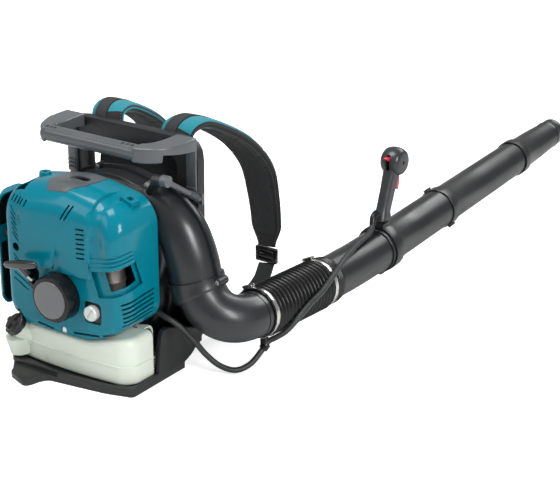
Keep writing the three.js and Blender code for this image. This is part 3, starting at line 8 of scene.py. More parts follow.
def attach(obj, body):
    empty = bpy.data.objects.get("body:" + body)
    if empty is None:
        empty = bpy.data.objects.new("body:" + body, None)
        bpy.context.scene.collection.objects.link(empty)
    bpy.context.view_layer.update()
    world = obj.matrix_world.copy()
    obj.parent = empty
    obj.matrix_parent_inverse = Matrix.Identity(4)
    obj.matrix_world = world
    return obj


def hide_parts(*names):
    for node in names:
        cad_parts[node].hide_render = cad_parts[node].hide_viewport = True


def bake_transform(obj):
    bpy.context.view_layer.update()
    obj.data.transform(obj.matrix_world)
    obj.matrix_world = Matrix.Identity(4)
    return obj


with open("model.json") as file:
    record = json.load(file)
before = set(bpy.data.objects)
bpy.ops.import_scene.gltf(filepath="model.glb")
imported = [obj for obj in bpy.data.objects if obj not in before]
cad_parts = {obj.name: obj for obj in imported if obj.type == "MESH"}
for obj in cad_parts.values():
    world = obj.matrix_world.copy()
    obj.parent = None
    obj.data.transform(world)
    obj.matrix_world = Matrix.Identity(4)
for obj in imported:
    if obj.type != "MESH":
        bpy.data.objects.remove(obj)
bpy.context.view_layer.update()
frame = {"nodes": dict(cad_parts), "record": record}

# -------- camera, studio light and floor
# The camera stands to the front right of the machine, a little above it. A pale sweep and four large
# soft lamps light it evenly, as in a product photograph.
AZIMUTH, ELEVATION = radians(34.5), radians(22)
CAMERA_AT, CAMERA_LENS, SENSOR_WIDTH = (2.14111, -2.48958, 1.54625), 109.286, 36
LIT_POINT = Vector((0.05, 0.3, 0.2))
SKY_LIGHT, SKY_IN_GLOSS = 0.26, 0.15
PAPER_GREY, PAPER_GLOW, WHITE = (0.82, 0.82, 0.82, 1), 0.68, (1, 1, 1, 1)


def linked(name, data, place=(0, 0, 0), way=None):
    """An object in the scene that stands at a place and looks along a direction."""
    thing = bpy.data.objects.new(name, data)
    thing.location = place
    if way is not None:
        thing.rotation_euler = way.to_track_quat("-Z", "Y").to_euler()
    bpy.context.scene.collection.objects.link(thing)
    return thing


def fill(tree, node, inputs):
    """Sets a node's inputs to values or to other nodes' sockets."""
    for key, value in inputs.items():
        if isinstance(value, bpy.types.NodeSocket):
            tree.links.new(value, node.inputs[key])
        else:
            node.inputs[key].default_value = value


def add_node(tree, kind, inputs, **settings):
    """Adds a node with its inputs and settings, and gives its first output."""
    node = tree.nodes.new(kind)
    for key, value in settings.items():
        setattr(node, key, value)
    fill(tree, node, inputs)
    return node.outputs[0] if node.outputs else None


def calc(tree, operation, *values):
    return add_node(tree, "ShaderNodeMath", dict(enumerate(values)), operation=operation)


def cleared(block):
    """The emptied node tree of a world or material, and the light path's outputs."""
    block.use_nodes = True
    block.node_tree.nodes.clear()
    return block.node_tree, block.node_tree.nodes.new("ShaderNodeLightPath").outputs


camera_lens = bpy.data.cameras.new("studio_camera")
camera_lens.lens, camera_lens.sensor_width, camera_lens.clip_end = CAMERA_LENS, SENSOR_WIDTH, 60
camera_back = Vector((sin(AZIMUTH) * cos(ELEVATION), -cos(AZIMUTH) * cos(ELEVATION),
                      sin(ELEVATION)))
bpy.context.scene.camera = linked("studio_camera", camera_lens, CAMERA_AT, -camera_back)
bpy.context.scene.view_settings.view_transform = "Standard"
for name, place, size, power in (
        ("overhead_softbox", (-0.5, -0.4, 3.2), (1.6, 1.6), 82),
        ("front_softbox", (-1.7, -2.6, 2.3), (1.7, 1.5), 20),
        ("side_softbox", (3.0, -1.0, 1.9), (0.9, 1.6), 84),
        ("rear_softbox", (0.6, 3.0, 2.2), (2.4, 0.8), 40)):
    lamp = bpy.data.lights.new(name, "AREA")
    lamp.shape, lamp.energy = "RECTANGLE", power
    lamp.size, lamp.size_y = size
    linked(name, lamp, place, LIT_POINT - Vector(place))

studio = bpy.data.worlds.new("studio")
bpy.context.scene.world = studio
tree, ray = cleared(studio)
seen = calc(tree, "MAXIMUM", ray["Is Camera Ray"], ray["Is Transmission Ray"])
white_share = calc(tree, "MULTIPLY_ADD", ray["Is Glossy Ray"], SKY_IN_GLOSS, seen)
dim, white = (add_node(tree, "ShaderNodeBackground", {"Color": WHITE, "Strength": strength})
              for strength in (SKY_LIGHT, 1.0))
sky = add_node(tree, "ShaderNodeMixShader", {0: white_share, 1: dim, 2: white})
add_node(tree, "ShaderNodeOutputWorld", {"Surface": sky})

floor_mesh = bpy.data.meshes.new("studio_floor")
floor_mesh.from_pydata([(-12, -12, 0), (12, -12, 0), (12, 12, 0), (-12, 12, 0)], [], [(0, 1, 2, 3)])
paper = bpy.data.materials.new("studio_paper")
tree, ray = cleared(paper)
lit = add_node(tree, "ShaderNodeBsdfDiffuse", {"Color": PAPER_GREY})
glow = add_node(tree, "ShaderNodeEmission", {
    "Color": WHITE, "Strength": calc(tree, "MULTIPLY", ray["Is Camera Ray"], PAPER_GLOW)})
both = add_node(tree, "ShaderNodeAddShader", {0: lit, 1: glow})
add_node(tree, "ShaderNodeOutputMaterial", {"Surface": both})
floor_mesh.materials.append(paper)
linked("studio_floor", floor_mesh, (0, 0, -0.0005))

# -------- frame base, upright and cradle
# Glass-filled black plastic, moulded in one colour with a fine spark-eroded grain and faint clouds. The
# edges of the mouldings are slightly rounded.
COLOUR, FLOAT = "NodeSocketColor", "NodeSocketFloat"
GRAIN_DEPTH, WEAVE_DEPTH = 0.0004, 0.0006


def new_tree(kind, name, inputs, outputs):
    """A node tree with named inputs, each given by its value or its socket type."""
    tree = bpy.data.node_groups.new(name, kind)
    kinds = {tuple: COLOUR, float: FLOAT, int: "NodeSocketInt"}
    for label, value in inputs.items():
        socket_type = value if isinstance(value, str) else kinds[type(value)]
        socket = tree.interface.new_socket(label, in_out="INPUT", socket_type=socket_type)
        if socket_type != value:
            socket.default_value = value
    for label, socket_type in outputs.items():
        tree.interface.new_socket(label, in_out="OUTPUT", socket_type=socket_type)
    return tree, tree.nodes.new("NodeGroupInput").outputs


def scaled(tree, colour, factor):
    return add_node(tree, "ShaderNodeVectorMath", {0: colour, "Scale": factor}, operation="SCALE")


def moulded_surface():
    """Plastic or metal: a fine grain, and clouds that change the colour and the shine a little."""
    tree, given = new_tree("ShaderNodeTree", "moulded_surface", {
        "Colour": (0.1, 0.1, 0.1, 1), "Mottle": 0.1, "Shine Change": 0.08, "Roughness": 0.5,
        "Grain Scale": 900.0, "Grain Height": 1.0}, {"Colour": COLOUR, "Roughness": FLOAT, "Height": FLOAT})
    place = tree.nodes.new("ShaderNodeTexCoord").outputs["Object"]
    grain = add_node(tree, "ShaderNodeTexNoise", {"Vector": place, "Scale": given["Grain Scale"], "Detail": 3})
    cloud = add_node(tree, "ShaderNodeTexNoise", {"Vector": place, "Scale": 14, "Detail": 5})
    cloud = add_node(tree, "ShaderNodeMapRange", {
        "Value": cloud, "From Min": 0.3, "From Max": 0.7, "To Min": -1, "To Max": 1})
    lighter = calc(tree, "MULTIPLY_ADD", cloud, given["Mottle"], 1)
    add_node(tree, "NodeGroupOutput", {
        "Colour": scaled(tree, given["Colour"], lighter),
        "Roughness": calc(tree, "MULTIPLY_ADD", cloud, given["Shine Change"], given["Roughness"]),
        "Height": calc(tree, "MULTIPLY", grain, given["Grain Height"])})
    return tree


MOULDED = moulded_surface()


def surfaced(name, group, values, bump, depth):
    """A material with a surface group's colour and relief, its shader, and the group's outputs."""
    made = bpy.data.materials.new(name)
    made.use_nodes = True
    tree = made.node_tree
    surface = tree.nodes.new("ShaderNodeGroup")
    surface.node_tree = group
    fill(tree, surface, values)
    out, shader = surface.outputs, tree.nodes["Principled BSDF"]
    normal = add_node(tree, "ShaderNodeBump", {"Strength": bump, "Distance": depth, "Height": out["Height"]})
    fill(tree, shader, {"Base Color": out["Colour"], "Normal": normal})
    return made, shader, out


def moulding(name, colour, roughness, grain_scale=900, grain_height=1.0, bump=0.08, mottle=0.12,
             shine_change=0.06, coat=0.0, metallic=0.0, specular=0.5):
    made, shader, out = surfaced(name, MOULDED, {
        "Colour": (*colour, 1), "Mottle": mottle, "Shine Change": shine_change, "Roughness": roughness,
        "Grain Scale": grain_scale, "Grain Height": grain_height}, bump, GRAIN_DEPTH)
    fill(made.node_tree, shader, {"Roughness": out["Roughness"], "Metallic": metallic, "Coat Weight": coat,
                                  "Coat Roughness": 0.12, "Specular IOR Level": specular})
    return made


body_of_node = {node: body for body, group in frame["record"]["behaviour"]["bodies"].items() for node in group}


def as_piece(name, mesh, material, node=None, sharp=32, stands_for=None, bends=None):
    """Shades a finished mesh, links it, and lets it stand for a node on that node's body.

    stands_for names the node whose body an added piece rides on. bends is (body, body, start, end); only
    whether
    it is given is read: such a piece is left where it stands instead of riding on a body.
    """
    for face in mesh.polygons:
        face.use_smooth = True
    mesh.set_sharp_from_angle(angle=radians(sharp))
    mesh.materials.clear()
    mesh.materials.append(material)
    piece = linked(name, mesh)
    if node:
        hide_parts(node)
    like = node or stands_for
    if bends:
        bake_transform(piece)
    else:
        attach(piece, body_of_node[like])
    return piece


def finished(node, mesh, material, sharp=30):
    return as_piece(f"{node}_finished", mesh, material, node, sharp)


def evaluated(mesh, steps):
    """A copy of the mesh with modifiers applied: each step is (kind, {property: value}, {input: value})."""
    holder = linked("holder", mesh)
    for kind, settings, inputs in steps:
        step = holder.modifiers.new(kind.lower(), kind)
        for key, value in settings.items():
            setattr(step, key, value)
        for key, value in inputs.items():
            step[key] = value
    result = bpy.data.meshes.new_from_object(holder.evaluated_get(bpy.context.evaluated_depsgraph_get()))
    holder.modifiers.clear()
    bpy.data.objects.remove(holder)
    return result


def bevelled(mesh, width, segments, angle=30):
    return evaluated(mesh, [("BEVEL", {
        "width": width, "segments": segments, "limit_method": "ANGLE", "angle_limit": radians(angle)}, {})])


def written(work, name):
    """A mesh from a bmesh, which is freed."""
    mesh = bpy.data.meshes.new(name)
    work.to_mesh(mesh)
    work.free()
    return mesh


def rounded_edges(node, material, width, segments=2):
    """The node's mesh with its corners joined, its flat faces made whole and its edges rounded."""
    work = bmesh.new()
    work.from_mesh(frame["nodes"][node].data)
    bmesh.ops.remove_doubles(work, verts=work.verts, dist=2e-5)
    bmesh.ops.dissolve_limit(work, angle_limit=radians(1.5), verts=work.verts, edges=work.edges)
    finished(node, bevelled(written(work, f"{node}_moulding"), width, segments, 35), material, 32)


frame_plastic = moulding("frame_plastic", (0.011, 0.0115, 0.0125), 0.42, mottle=0.14)
rounded_edges("frame_base", frame_plastic, 0.0016, 3)
rounded_edges("frame_upright", frame_plastic, 0.0016, 3)
rounded_edges("engine_cradle", frame_plastic, 0.0008)

# -------- scroll casing of the fan
# Two satin black mouldings meet in a bolted flange. The scroll is drawn as rings round the fan's axis,
# and the round duct is swept along its curve; then both are joined and hollowed.
SHAFT_Z, SPLIT, DUCT_RADIUS, DUCT_BORE = 185, 28, 0.054, 0.051
SCROLL_FRONT, SCROLL_REAR, SCROLL_WALL, SCROLL_POINTS = -20, 70, 3, 144
FIRST_RADIUS, GROWTH, FIRST_TURN = 132, 0.33, -6


def mm(x, y, z):
    return Vector((x, y, z)) * 0.001


def shift(x, y, z):
    return Matrix.Translation(mm(x, y, z))


def spin(degrees, axis):
    return Matrix.Rotation(radians(degrees), 4, axis)


def turns(count):
    return [2 * pi * k / count for k in range(count)]


def quarter(step):
    return [radians(a) for a in range(0, 91, step)]


def limited(x):
    return min(1.0, max(0.0, x))


def smooth(x, low, high):
    t = limited((x - low) / (high - low))
    return t * t * (3 - 2 * t)


def skin(rings, wrap=False):
    """A mesh through rings of equally many points. wrap joins the last ring to the first."""
    work = bmesh.new()
    rows = [[work.verts.new(point) for point in ring] for ring in rings]
    count = len(rings[0])
    pairs = list(zip(rows, rows[1:])) + ([(rows[-1], rows[0])] if wrap else [])
    for low, high in pairs:
        for i in range(count):
            j = (i + 1) % count
            work.faces.new((low[i], low[j], high[j], high[i]))
    if not wrap:
        work.faces.new(list(reversed(rows[0])))
        work.faces.new(rows[-1])
    bmesh.ops.recalc_face_normals(work, faces=work.faces)
    return written(work, "skin")


def prism(outline, levels, point=mm):
    """A piece of one outline in millimetres. point(a, b, level) places each corner."""
    return skin([[point(a, b, level) for a, b in outline] for level in levels])


def lathe(profile, sides, place, wrap=False):
    """A turned piece round the local Y axis. The profile is (radius, y) in millimetres."""
    return skin([[place @ mm(r * cos(a), y, r * sin(a)) for a in turns(sides)] for r, y in profile], wrap)


def tube(path, radius, sides):
    """A tube round points in metres, without twist. The radius may depend on the share of the way."""
    rings = []
    across = None
    for i, point in enumerate(path):
        way = (path[min(i + 1, len(path) - 1)] - path[max(i - 1, 0)]).normalized()
        if across is None:
            across = way.orthogonal().normalized()
        across = (across - way * across.dot(way)).normalized()
        up = way.cross(across)
        r = radius(i / (len(path) - 1)) if callable(radius) else radius
        rings.append([point + across * r * cos(a) + up * r * sin(a) for a in turns(sides)])
    return skin(rings)


def rod(start, end, radius, sides=32, end_radius=None):
    """A cylinder or cone between two points, all in millimetres."""
    far = radius if end_radius is None else end_radius
    return tube([mm(*start), mm(*end)], lambda t: (radius + (far - radius) * t) * 0.001, sides)


def shaft_rod(y0, y1, radius, sides, x=0, z=SHAFT_Z):
    """A cylinder along Y, on the fan's axis unless told otherwise."""
    return rod((x, y0, z), (x, y1, z), radius, sides)


def slab(size, turned=(), at=(0, 0, 0), off=(0, 0, 0)):
    """A box of size x, y, z in millimetres, turned about the axes in turn and set down at a place."""
    x, y, z = (s * 0.0005 for s in size)
    move = shift(*at)
    for axis, angle in reversed(turned):
        move = move @ Matrix.Rotation(angle, 4, axis)
    move = move @ shift(*off)
    return skin([[move @ Vector((a, b, h)) for a, b in ((-x, -y), (x, -y), (x, y), (-x, y))] for h in (-z, z)])


def placed(mesh, matrix):
    mesh.transform(matrix)
    return mesh


def gathered(meshes):
    """One mesh from several that don't touch."""
    work = bmesh.new()
    for mesh in meshes:
        work.from_mesh(mesh)
    return written(work, "gathered")


def carved(base, *steps):
    """The base joined with (after "+"), cut by ("-") or kept inside ("&") other meshes, in order."""
    tools, joins = [], []
    for step in steps:
        if isinstance(step, str):
            operation = {"+": "UNION", "-": "DIFFERENCE", "&": "INTERSECT"}[step]
        else:
            tools.append(linked("tool", step))
            joins.append(("BOOLEAN", {"operation": operation, "object": tools[-1], "solver": "MANIFOLD"}, {}))
    result = evaluated(base, joins)
    for tool in tools:
        bpy.data.objects.remove(tool)
    return result


def curve_through(points, steps):
    """Points in metres on a centripetal Catmull-Rom curve through points in millimetres."""
    given = [mm(*p) for p in points]
    given = [2 * given[0] - given[1]] + given + [2 * given[-1] - given[-2]]
    path = []
    for i in range(1, len(given) - 2):
        p0, p1, p2, p3 = given[i - 1:i + 3]
        d0, d1, d2 = (max(sqrt((b - a).length), 1e-4) for a, b in ((p0, p1), (p1, p2), (p2, p3)))
        t1 = ((p1 - p0) / d0 - (p2 - p0) / (d0 + d1) + (p2 - p1) / d1) * d1
        t2 = ((p2 - p1) / d1 - (p3 - p1) / (d1 + d2) + (p3 - p2) / d2) * d1
        for k in range(steps):
            t = k / steps
            path.append(p1 * (2 * t**3 - 3 * t**2 + 1) + t1 * (t**3 - 2 * t**2 + t)
                        + p2 * (3 * t**2 - 2 * t**3) + t2 * (t**3 - t**2))
    return path + [given[-2]]


def shape_tree(name, sizes):
    """A geometry tree with a named input for each size, and the sockets that bring them."""
    geometry, material = {"Geometry": "NodeSocketGeometry"}, {"Material": "NodeSocketMaterial"}
    return new_tree("GeometryNodeTree", name, {**geometry, **sizes, **material}, geometry)


def end_tree(tree, given, geometry):
    real = add_node(tree, "GeometryNodeRealizeInstances", {"Geometry": geometry})
    coated = add_node(tree, "GeometryNodeSetMaterial", {"Geometry": real, "Material": given["Material"]})
    add_node(tree, "NodeGroupOutput", {0: coated})
    return tree


def grown(tree, mesh, material, sizes=()):
    """The plain mesh that a geometry tree makes of a mesh, with its named inputs set."""
    values = {**dict(sizes), "Material": material}
    inputs = {socket.identifier: values[socket.name] for socket in tree.interface.items_tree
              if socket.in_out == "INPUT" and socket.name in values}
    return evaluated(mesh, [("NODES", {"node_group": tree}, inputs)])


def courses(lines):
    """Edges along lines of points in metres, for a tree to follow. A line may be one point."""
    mesh, points, edges = bpy.data.meshes.new("courses"), [], []
    for line in lines:
        edges += [(len(points) + i, len(points) + i + 1) for i in range(len(line) - 1)]
        points += line
    mesh.from_pydata(points, edges, [])
    return mesh


def cylinder_node(tree, vertices, radius, depth):
    return add_node(tree, "GeometryNodeMeshCylinder", {"Vertices": vertices, "Radius": radius, "Depth": depth})


def ring_node(tree, resolution, radius):
    return add_node(tree, "GeometryNodeCurvePrimitiveCircle", {"Resolution": resolution, "Radius": radius})


def sweep_node(tree, course, ring, **scale):
    return add_node(tree, "GeometryNodeCurveToMesh", {
        "Curve": course, "Profile Curve": ring, "Fill Caps": True, **scale})


def bolt_heads_tree():
    tree, given = shape_tree("bolt_heads", {
        "Head Radius": 0.0046, "Head Height": 0.0032, "Washer Radius": 0.0064, "Washer Height": 0.0011})
    washer = cylinder_node(tree, 28, given["Washer Radius"], given["Washer Height"])
    head = cylinder_node(tree, 6, given["Head Radius"], given["Head Height"])
    raised = add_node(tree, "ShaderNodeCombineXYZ", {"Z": calc(tree, "MULTIPLY", given["Head Height"], 0.6)})
    head = add_node(tree, "GeometryNodeTransform", {"Geometry": head, "Translation": raised})
    both = tree.nodes.new("GeometryNodeJoinGeometry")
    for part in (washer, head):
        tree.links.new(part, both.inputs[0])
    return end_tree(tree, given, add_node(tree, "GeometryNodeInstanceOnPoints", {
        "Points": given["Geometry"], "Instance": both.outputs[0], "Rotation": (pi / 2, 0, 0)}))


def scroll_ring(y, inset):
    ring = []
    for i in range(SCROLL_POINTS):
        turned = 360 * i / SCROLL_POINTS
        a = radians(FIRST_TURN - turned)
        back = min(1.0, max(0.0, (turned - 290) / 60) ** 1.5)
        r = (FIRST_RADIUS + GROWTH * turned) * (1 - back) + FIRST_RADIUS * back - inset
        ring.append(mm(r * cos(a), y, SHAFT_Z + r * sin(a)))
    return ring


def scroll_skin(wall):
    front = [(24 * (1 - sin(a)), 18 * (1 - cos(a))) for a in quarter(10)]
    rings = [scroll_ring(SCROLL_FRONT + wall + rise, inset + wall) for inset, rise in front]
    rings += [scroll_ring(SCROLL_REAR - wall - rise * 0.78, inset * 0.83 + wall)
              for inset, rise in reversed(front)]
    return skin(rings)


duct_path = curve_through([(84, SPLIT, 352), (124, SPLIT, 338), (167, SPLIT, 305), (192, SPLIT, 258),
                           (205, SPLIT, 211)], 10)
duct_way = (duct_path[-1] - duct_path[-2]).normalized()
flange = carved(tube(duct_path, 0.062, 64), "&", slab((900, 8, 600), at=(0, SPLIT, 200)))
bolt_places = []
for deg in (62, 100, 140, 180, 218, 250, 300):
    r = FIRST_RADIUS + GROWTH * ((FIRST_TURN - deg + 360) % 360) + 4
    bolt_places.append((r * cos(radians(deg)), SHAFT_Z + r * sin(radians(deg))))
stay_bracket = carved(rod((112, 2, 378), (152, -21, 422), 10, 28),
                      "+", rod((144, -22, 422), (164.7, -22, 422), 11, 28), "-", tube(duct_path, 0.0525, 48))
casing = carved(
    scroll_skin(0), "+", tube(duct_path, DUCT_RADIUS, 64),
    skin([scroll_ring(SPLIT - 4, -8), scroll_ring(SPLIT + 4, -8)]), flange,
    gathered([shaft_rod(SPLIT - 9, SPLIT + 9, 8, 28, x, z) for x, z in bolt_places]), stay_bracket,
    "-", scroll_skin(SCROLL_WALL), tube(duct_path + [duct_path[-1] + duct_way * 0.03], DUCT_BORE, 64),
    shaft_rod(50, 79, 86, 64), shaft_rod(-29, 0, 30, 48))
casing_plastic = moulding("casing_plastic", (0.011, 0.0135, 0.0155), 0.34, mottle=0.08, bump=0.06, coat=0.12)
for name, y in (("front", SPLIT + 150), ("rear", SPLIT + 0.3 - 150)):
    shell = carved(casing, "-", slab((1200, 300, 900), at=(0, y, 200)))
    as_piece(f"scroll_{name}_finished", shell, casing_plastic, f"scroll_{name}_shell", 30)
bolt_steel = moulding("bolt_steel", (0.42, 0.43, 0.44), 0.3, mottle=0.08, metallic=1.0)
bolt_heads = grown(bolt_heads_tree(), courses([[mm(x, SPLIT - 9.4, z)] for x, z in bolt_places]), bolt_steel)
as_piece("casing_bolts", bolt_heads, bolt_steel, stands_for="scroll_front_shell")
rounded_edges("fan_impeller", frame_plastic, 0.0004)
rounded_edges("intake_guard", frame_plastic, 0.0005)

# -------- carrying handle
# Dark grey plastic with a finer grain than the frame. The round bar and the two arms that sweep back to
# the posts are one moulding, with ribbed plates on the posts, and a stay with a ribbed boot.
HANDLE_SIDE, BAR_RADIUS = 172, 17
handle_plastic = moulding("handle_plastic", (0.078, 0.088, 0.096), 0.3, mottle=0.08, coat=0.25)


def bow(p, q, r, steps=10):
    """Points on a curve from p to r that is pulled towards q."""
    return [tuple(a * (1 - t)**2 + b * 2 * t * (1 - t) + c * t * t for a, b, c in zip(p, q, r))
            for t in (k / steps for k in range(steps + 1))]


def handle_arm(way, end):
    side = way * HANDLE_SIDE
    outline = bow((end, -39), (side - way * 18, -36), (side, 28)) + [(side, 83.7), (side - way * 50, 83.7)]
    outline += bow((side - way * 50, 44), (side - way * 54, 2), (end, -5))
    return bevelled(prism(outline, (453, 485)), 0.0085, 6, 50)


bar_ends = ((-141, 4), (-140, 2), (-138, 0.6), (-135, 0), (107, 0), (110, 0.6), (112, 2), (113, 4))
bar = skin([[mm(x, -22 + (BAR_RADIUS - less) * cos(a), 469 + (BAR_RADIUS - less) * sin(a))
             for a in turns(64)] for x, less in bar_ends])
carry_handle = carved(
    bar, "+", handle_arm(1, 100), handle_arm(-1, -128),
    "-", gathered([slab((5, 9, 6), [("Z", -0.5)], (x, -28, 486)) for x in (-128, -118, -108, 70, 82, 94)]),
    slab((420, 160, 30), [("X", radians(-8))], (0, 70, 444)))
finished("carry_handle", carry_handle, handle_plastic, 40)
plates = []
for x in (-158, 158):
    plates.append(slab((24, 5.7, 118), at=(x, 80.85, 411)))
    plates += [slab((20, 4, 4), at=(x, 76.5, z)) for z in (360, 369, 378)]
as_piece("handle_post_plates", bevelled(gathered(plates), 0.0009, 2), handle_plastic,
         stands_for="carry_handle")
stay_eye, stay_foot = Vector((172.5, -22, 424)), Vector((180, 77, 358))
boot = [tube([stay_eye.lerp(stay_foot, t) * 0.001, stay_eye.lerp(stay_foot, t + 0.022) * 0.001], 0.0082, 28)
        for t in (0.7, 0.74, 0.78, 0.82, 0.86, 0.9)]
stay = carved(rod((165, -22, 424), (180, -22, 424), 12, 40),
              "+", rod(stay_eye, stay_foot, 6), gathered(boot), slab((21, 7.7, 23), at=(176.5, 79.85, 358.5)))
as_piece("handle_stay", stay, handle_plastic, stands_for="carry_handle", sharp=40)

# -------- elbow
# The elbow turns the air from the duct to the hose. It is swept along its bend, with a collar that
# slips over the duct and a screwed lug.
OUTLET, DROOP, ELBOW_NARROWS = mm(294, 107, 122), -3.6, 0.006
elbow_start = duct_path[-1] + duct_way * 0.0003
outlet_way = Vector((0, cos(radians(DROOP)), sin(radians(DROOP))))
bend = [elbow_start, elbow_start + duct_way * 0.078, OUTLET - outlet_way * 0.092, OUTLET]
elbow_path = [
    bend[0] * (1 - t)**3 + bend[1] * 3 * t * (1 - t)**2 + bend[2] * 3 * t**2 * (1 - t) + bend[3] * t**3
    for t in (i / 40 for i in range(41))]
past_ends = [elbow_path[0] - duct_way * 0.004] + elbow_path + [elbow_path[-1] + outlet_way * 0.004]
duct_side = Vector((-duct_way.z, 0, duct_way.x))
lug_at = (elbow_start + duct_way * 0.010 + duct_side * 0.063) * 1000
elbow = carved(
    tube(elbow_path, lambda t: DUCT_RADIUS - ELBOW_NARROWS * t, 72),
    "+", tube(elbow_path[:8], lambda t: 0.0585 - 0.001 * (t > 0.9), 72),
    shaft_rod(lug_at.y - 13, lug_at.y + 13, 9, 28, lug_at.x, lug_at.z),
    tube([OUTLET - outlet_way * 0.012, OUTLET], 0.0492, 72),
    "-", tube(past_ends, lambda t: DUCT_BORE - ELBOW_NARROWS * t, 72))
finished("elbow", elbow, casing_plastic)
as_piece("elbow_screw", shaft_rod(lug_at.y - 15.5, lug_at.y - 12.9, 5, 24, lug_at.x, lug_at.z), bolt_steel,
         stands_for="elbow")

# -------- hose and clamps
# One black rubber moulding with rounded ribs, made by a geometry tree, in two halves. The clamps are bright
# steel bands with a worm screw.
HALF_HOSE, HOSE_SIDES, PAST_END = 119.0, 112, 0.002
LINE = Matrix.Translation(OUTLET) @ spin(DROOP, "X")
hose_rubber = moulding("hose_rubber", (0.0045, 0.0047, 0.005), 0.32, mottle=0.05, bump=0.03, coat=0.08,
                       specular=0.32)


def bellows_tree():
    """A line whose radius follows the ribs becomes a skin, and the bore is cut out of it."""
    tree, given = shape_tree("bellows", {
        "Length": HALF_HOSE * 0.001, "Cuff": 0.016, "Ribs": 8, "Valley Radius": 0.0478, "Rib Height": 0.008,
        "Cuff Radius": 0.052, "Bore Radius": 0.0468})
    end = add_node(tree, "ShaderNodeCombineXYZ", {"Y": given["Length"]})
    line = add_node(tree, "GeometryNodeCurvePrimitiveLine", {"End": end})
    line = add_node(tree, "GeometryNodeResampleCurve", {"Curve": line, "Count": 239})
    split = tree.nodes.new("ShaderNodeSeparateXYZ")
    fill(tree, split, {0: tree.nodes.new("GeometryNodeInputPosition").outputs[0]})
    y = split.outputs["Y"]
    ribbed = calc(tree, "SUBTRACT", given["Length"], given["Cuff"])
    share = calc(tree, "DIVIDE", calc(tree, "SUBTRACT", y, given["Cuff"]), ribbed)
    half_turns = calc(tree, "MULTIPLY", calc(tree, "MULTIPLY", share, given["Ribs"]), pi)
    swell = calc(tree, "POWER", calc(tree, "ABSOLUTE", calc(tree, "SINE", half_turns)), 1.15)
    rib = calc(tree, "ADD", given["Valley Radius"], calc(tree, "MULTIPLY", swell, given["Rib Height"]))
    step_up = calc(tree, "MULTIPLY", calc(tree, "LESS_THAN", y, given["Cuff"]),
                   calc(tree, "SUBTRACT", given["Cuff Radius"], rib))
    outside = sweep_node(tree, line, ring_node(tree, HOSE_SIDES, 1.0), Scale=calc(tree, "ADD", rib, step_up))
    past = add_node(tree, "ShaderNodeCombineXYZ", {"Y": calc(tree, "ADD", given["Length"], PAST_END)})
    core = add_node(tree, "GeometryNodeCurvePrimitiveLine", {"Start": (0, -PAST_END, 0), "End": past})
    core = sweep_node(tree, core, ring_node(tree, HOSE_SIDES, given["Bore Radius"]))
    return end_tree(tree, given, add_node(tree, "GeometryNodeMeshBoolean", {"Mesh 1": outside, "Mesh 2": core},
                                          operation="DIFFERENCE", solver="MANIFOLD"))


bellows = grown(bellows_tree(), courses([]), hose_rubber)
as_piece("hose_rear_moulding", placed(bellows.copy(), LINE @ shift(0, 1, 0)), hose_rubber, "hose_rear", 50,
         bends=("machine", "hose_middle", LINE @ mm(0, 17, 0), LINE @ mm(0, 118, 0)))
turned_round = LINE @ shift(0, 120.3, 0) @ (shift(0, HALF_HOSE, 0) @ Matrix.Rotation(pi, 4, "X"))
as_piece("hose_front_moulding", placed(bellows, turned_round), hose_rubber, "hose_front", 50,
         bends=("hose_middle", "hose_cuff", LINE @ mm(0, 122, 0), LINE @ mm(0, 222, 0)))
clamp_steel = moulding("clamp_steel", (0.6, 0.59, 0.57), 0.24, mottle=0.05, bump=0.03, metallic=1.0)
for node in ("hose_clamp_rear", "hose_clamp_front"):
    rounded_edges(node, clamp_steel, 0.0004)

# -------- pipes
# Four blow-moulded pipes in satin black with a fine grain. Each has a wider collar where it pushes over
# the pipe before it, and two lugs of a bayonet on the long one.
BEND, ARM, PIPE_WALL = 6.4, 231 / 2, 2.6
SWIVEL_START = 1 + 2 * HALF_HOSE + 0.3 + 2 + 0.3
pipe_plastic = moulding("pipe_plastic", (0.0095, 0.0105, 0.0115), 0.31, mottle=0.1, bump=0.06)
a0, a1 = mm(0, SWIVEL_START, 0), mm(0, SWIVEL_START + ARM, 0)
a2 = mm(0, SWIVEL_START + ARM * (1 + cos(radians(BEND))), ARM * sin(radians(BEND)))
swivel_path = [LINE @ (a0 * (1 - t)**2 + a1 * 2 * t * (1 - t) + a2 * t * t)
               for t in (i / 24 for i in range(25))]
longer = [2 * swivel_path[0] - swivel_path[1]] + swivel_path + [2 * swivel_path[-1] - swivel_path[-2]]
finished("swivel_pipe", carved(tube(swivel_path, 0.048, 96), "-", tube(longer, 0.0454, 96)), pipe_plastic)
ring_profile = [(49.3, 0), (53, 0)]
for y in (2, 7.6, 13.2, 18.8):
    ring_profile += [(53, y), (53.4, y + 1), (53, y + 2), (51.4, y + 3), (51.4, y + 4.4)]
ring_profile += [(52.4, 25.4), (52.4, 26), (49.3, 26)]
finished("swivel_ring", lathe(ring_profile, 96, LINE @ shift(0, 239.6, 0), wrap=True), pipe_plastic, 40)
STRAIGHT = LINE @ Matrix.Translation(a2) @ spin(BEND, "X")


def bayonet_pipe(start, length, near, far, collar, collar_length, lugs):
    at = STRAIGHT @ shift(0, start, 0)
    bore = collar - PIPE_WALL
    profile = [
        (collar - 0.6, 0), (collar, 0.8), (collar, collar_length - 8), (collar - 0.5, collar_length - 6.6),
        (near + 0.4, collar_length - 1), (near, collar_length), ((near + far) / 2, length / 2), (far, length),
        (far - PIPE_WALL, length), (near - PIPE_WALL, collar_length), (bore, collar_length - 8), (bore, 0)]
    pipe = lathe(profile, 96, at, wrap=True)
    if not lugs:
        return pipe
    nubs = [placed(slab((12, 16, 8), at=(0, 12, collar + 1)), at @ Matrix.Rotation(turn, 4, "Y"))
            for turn in lugs]
    core = lathe([(collar - 1.3, -5), (collar - 1.3, 60)], 48, at)
    return carved(pipe, "+", carved(gathered(nubs), "-", core))


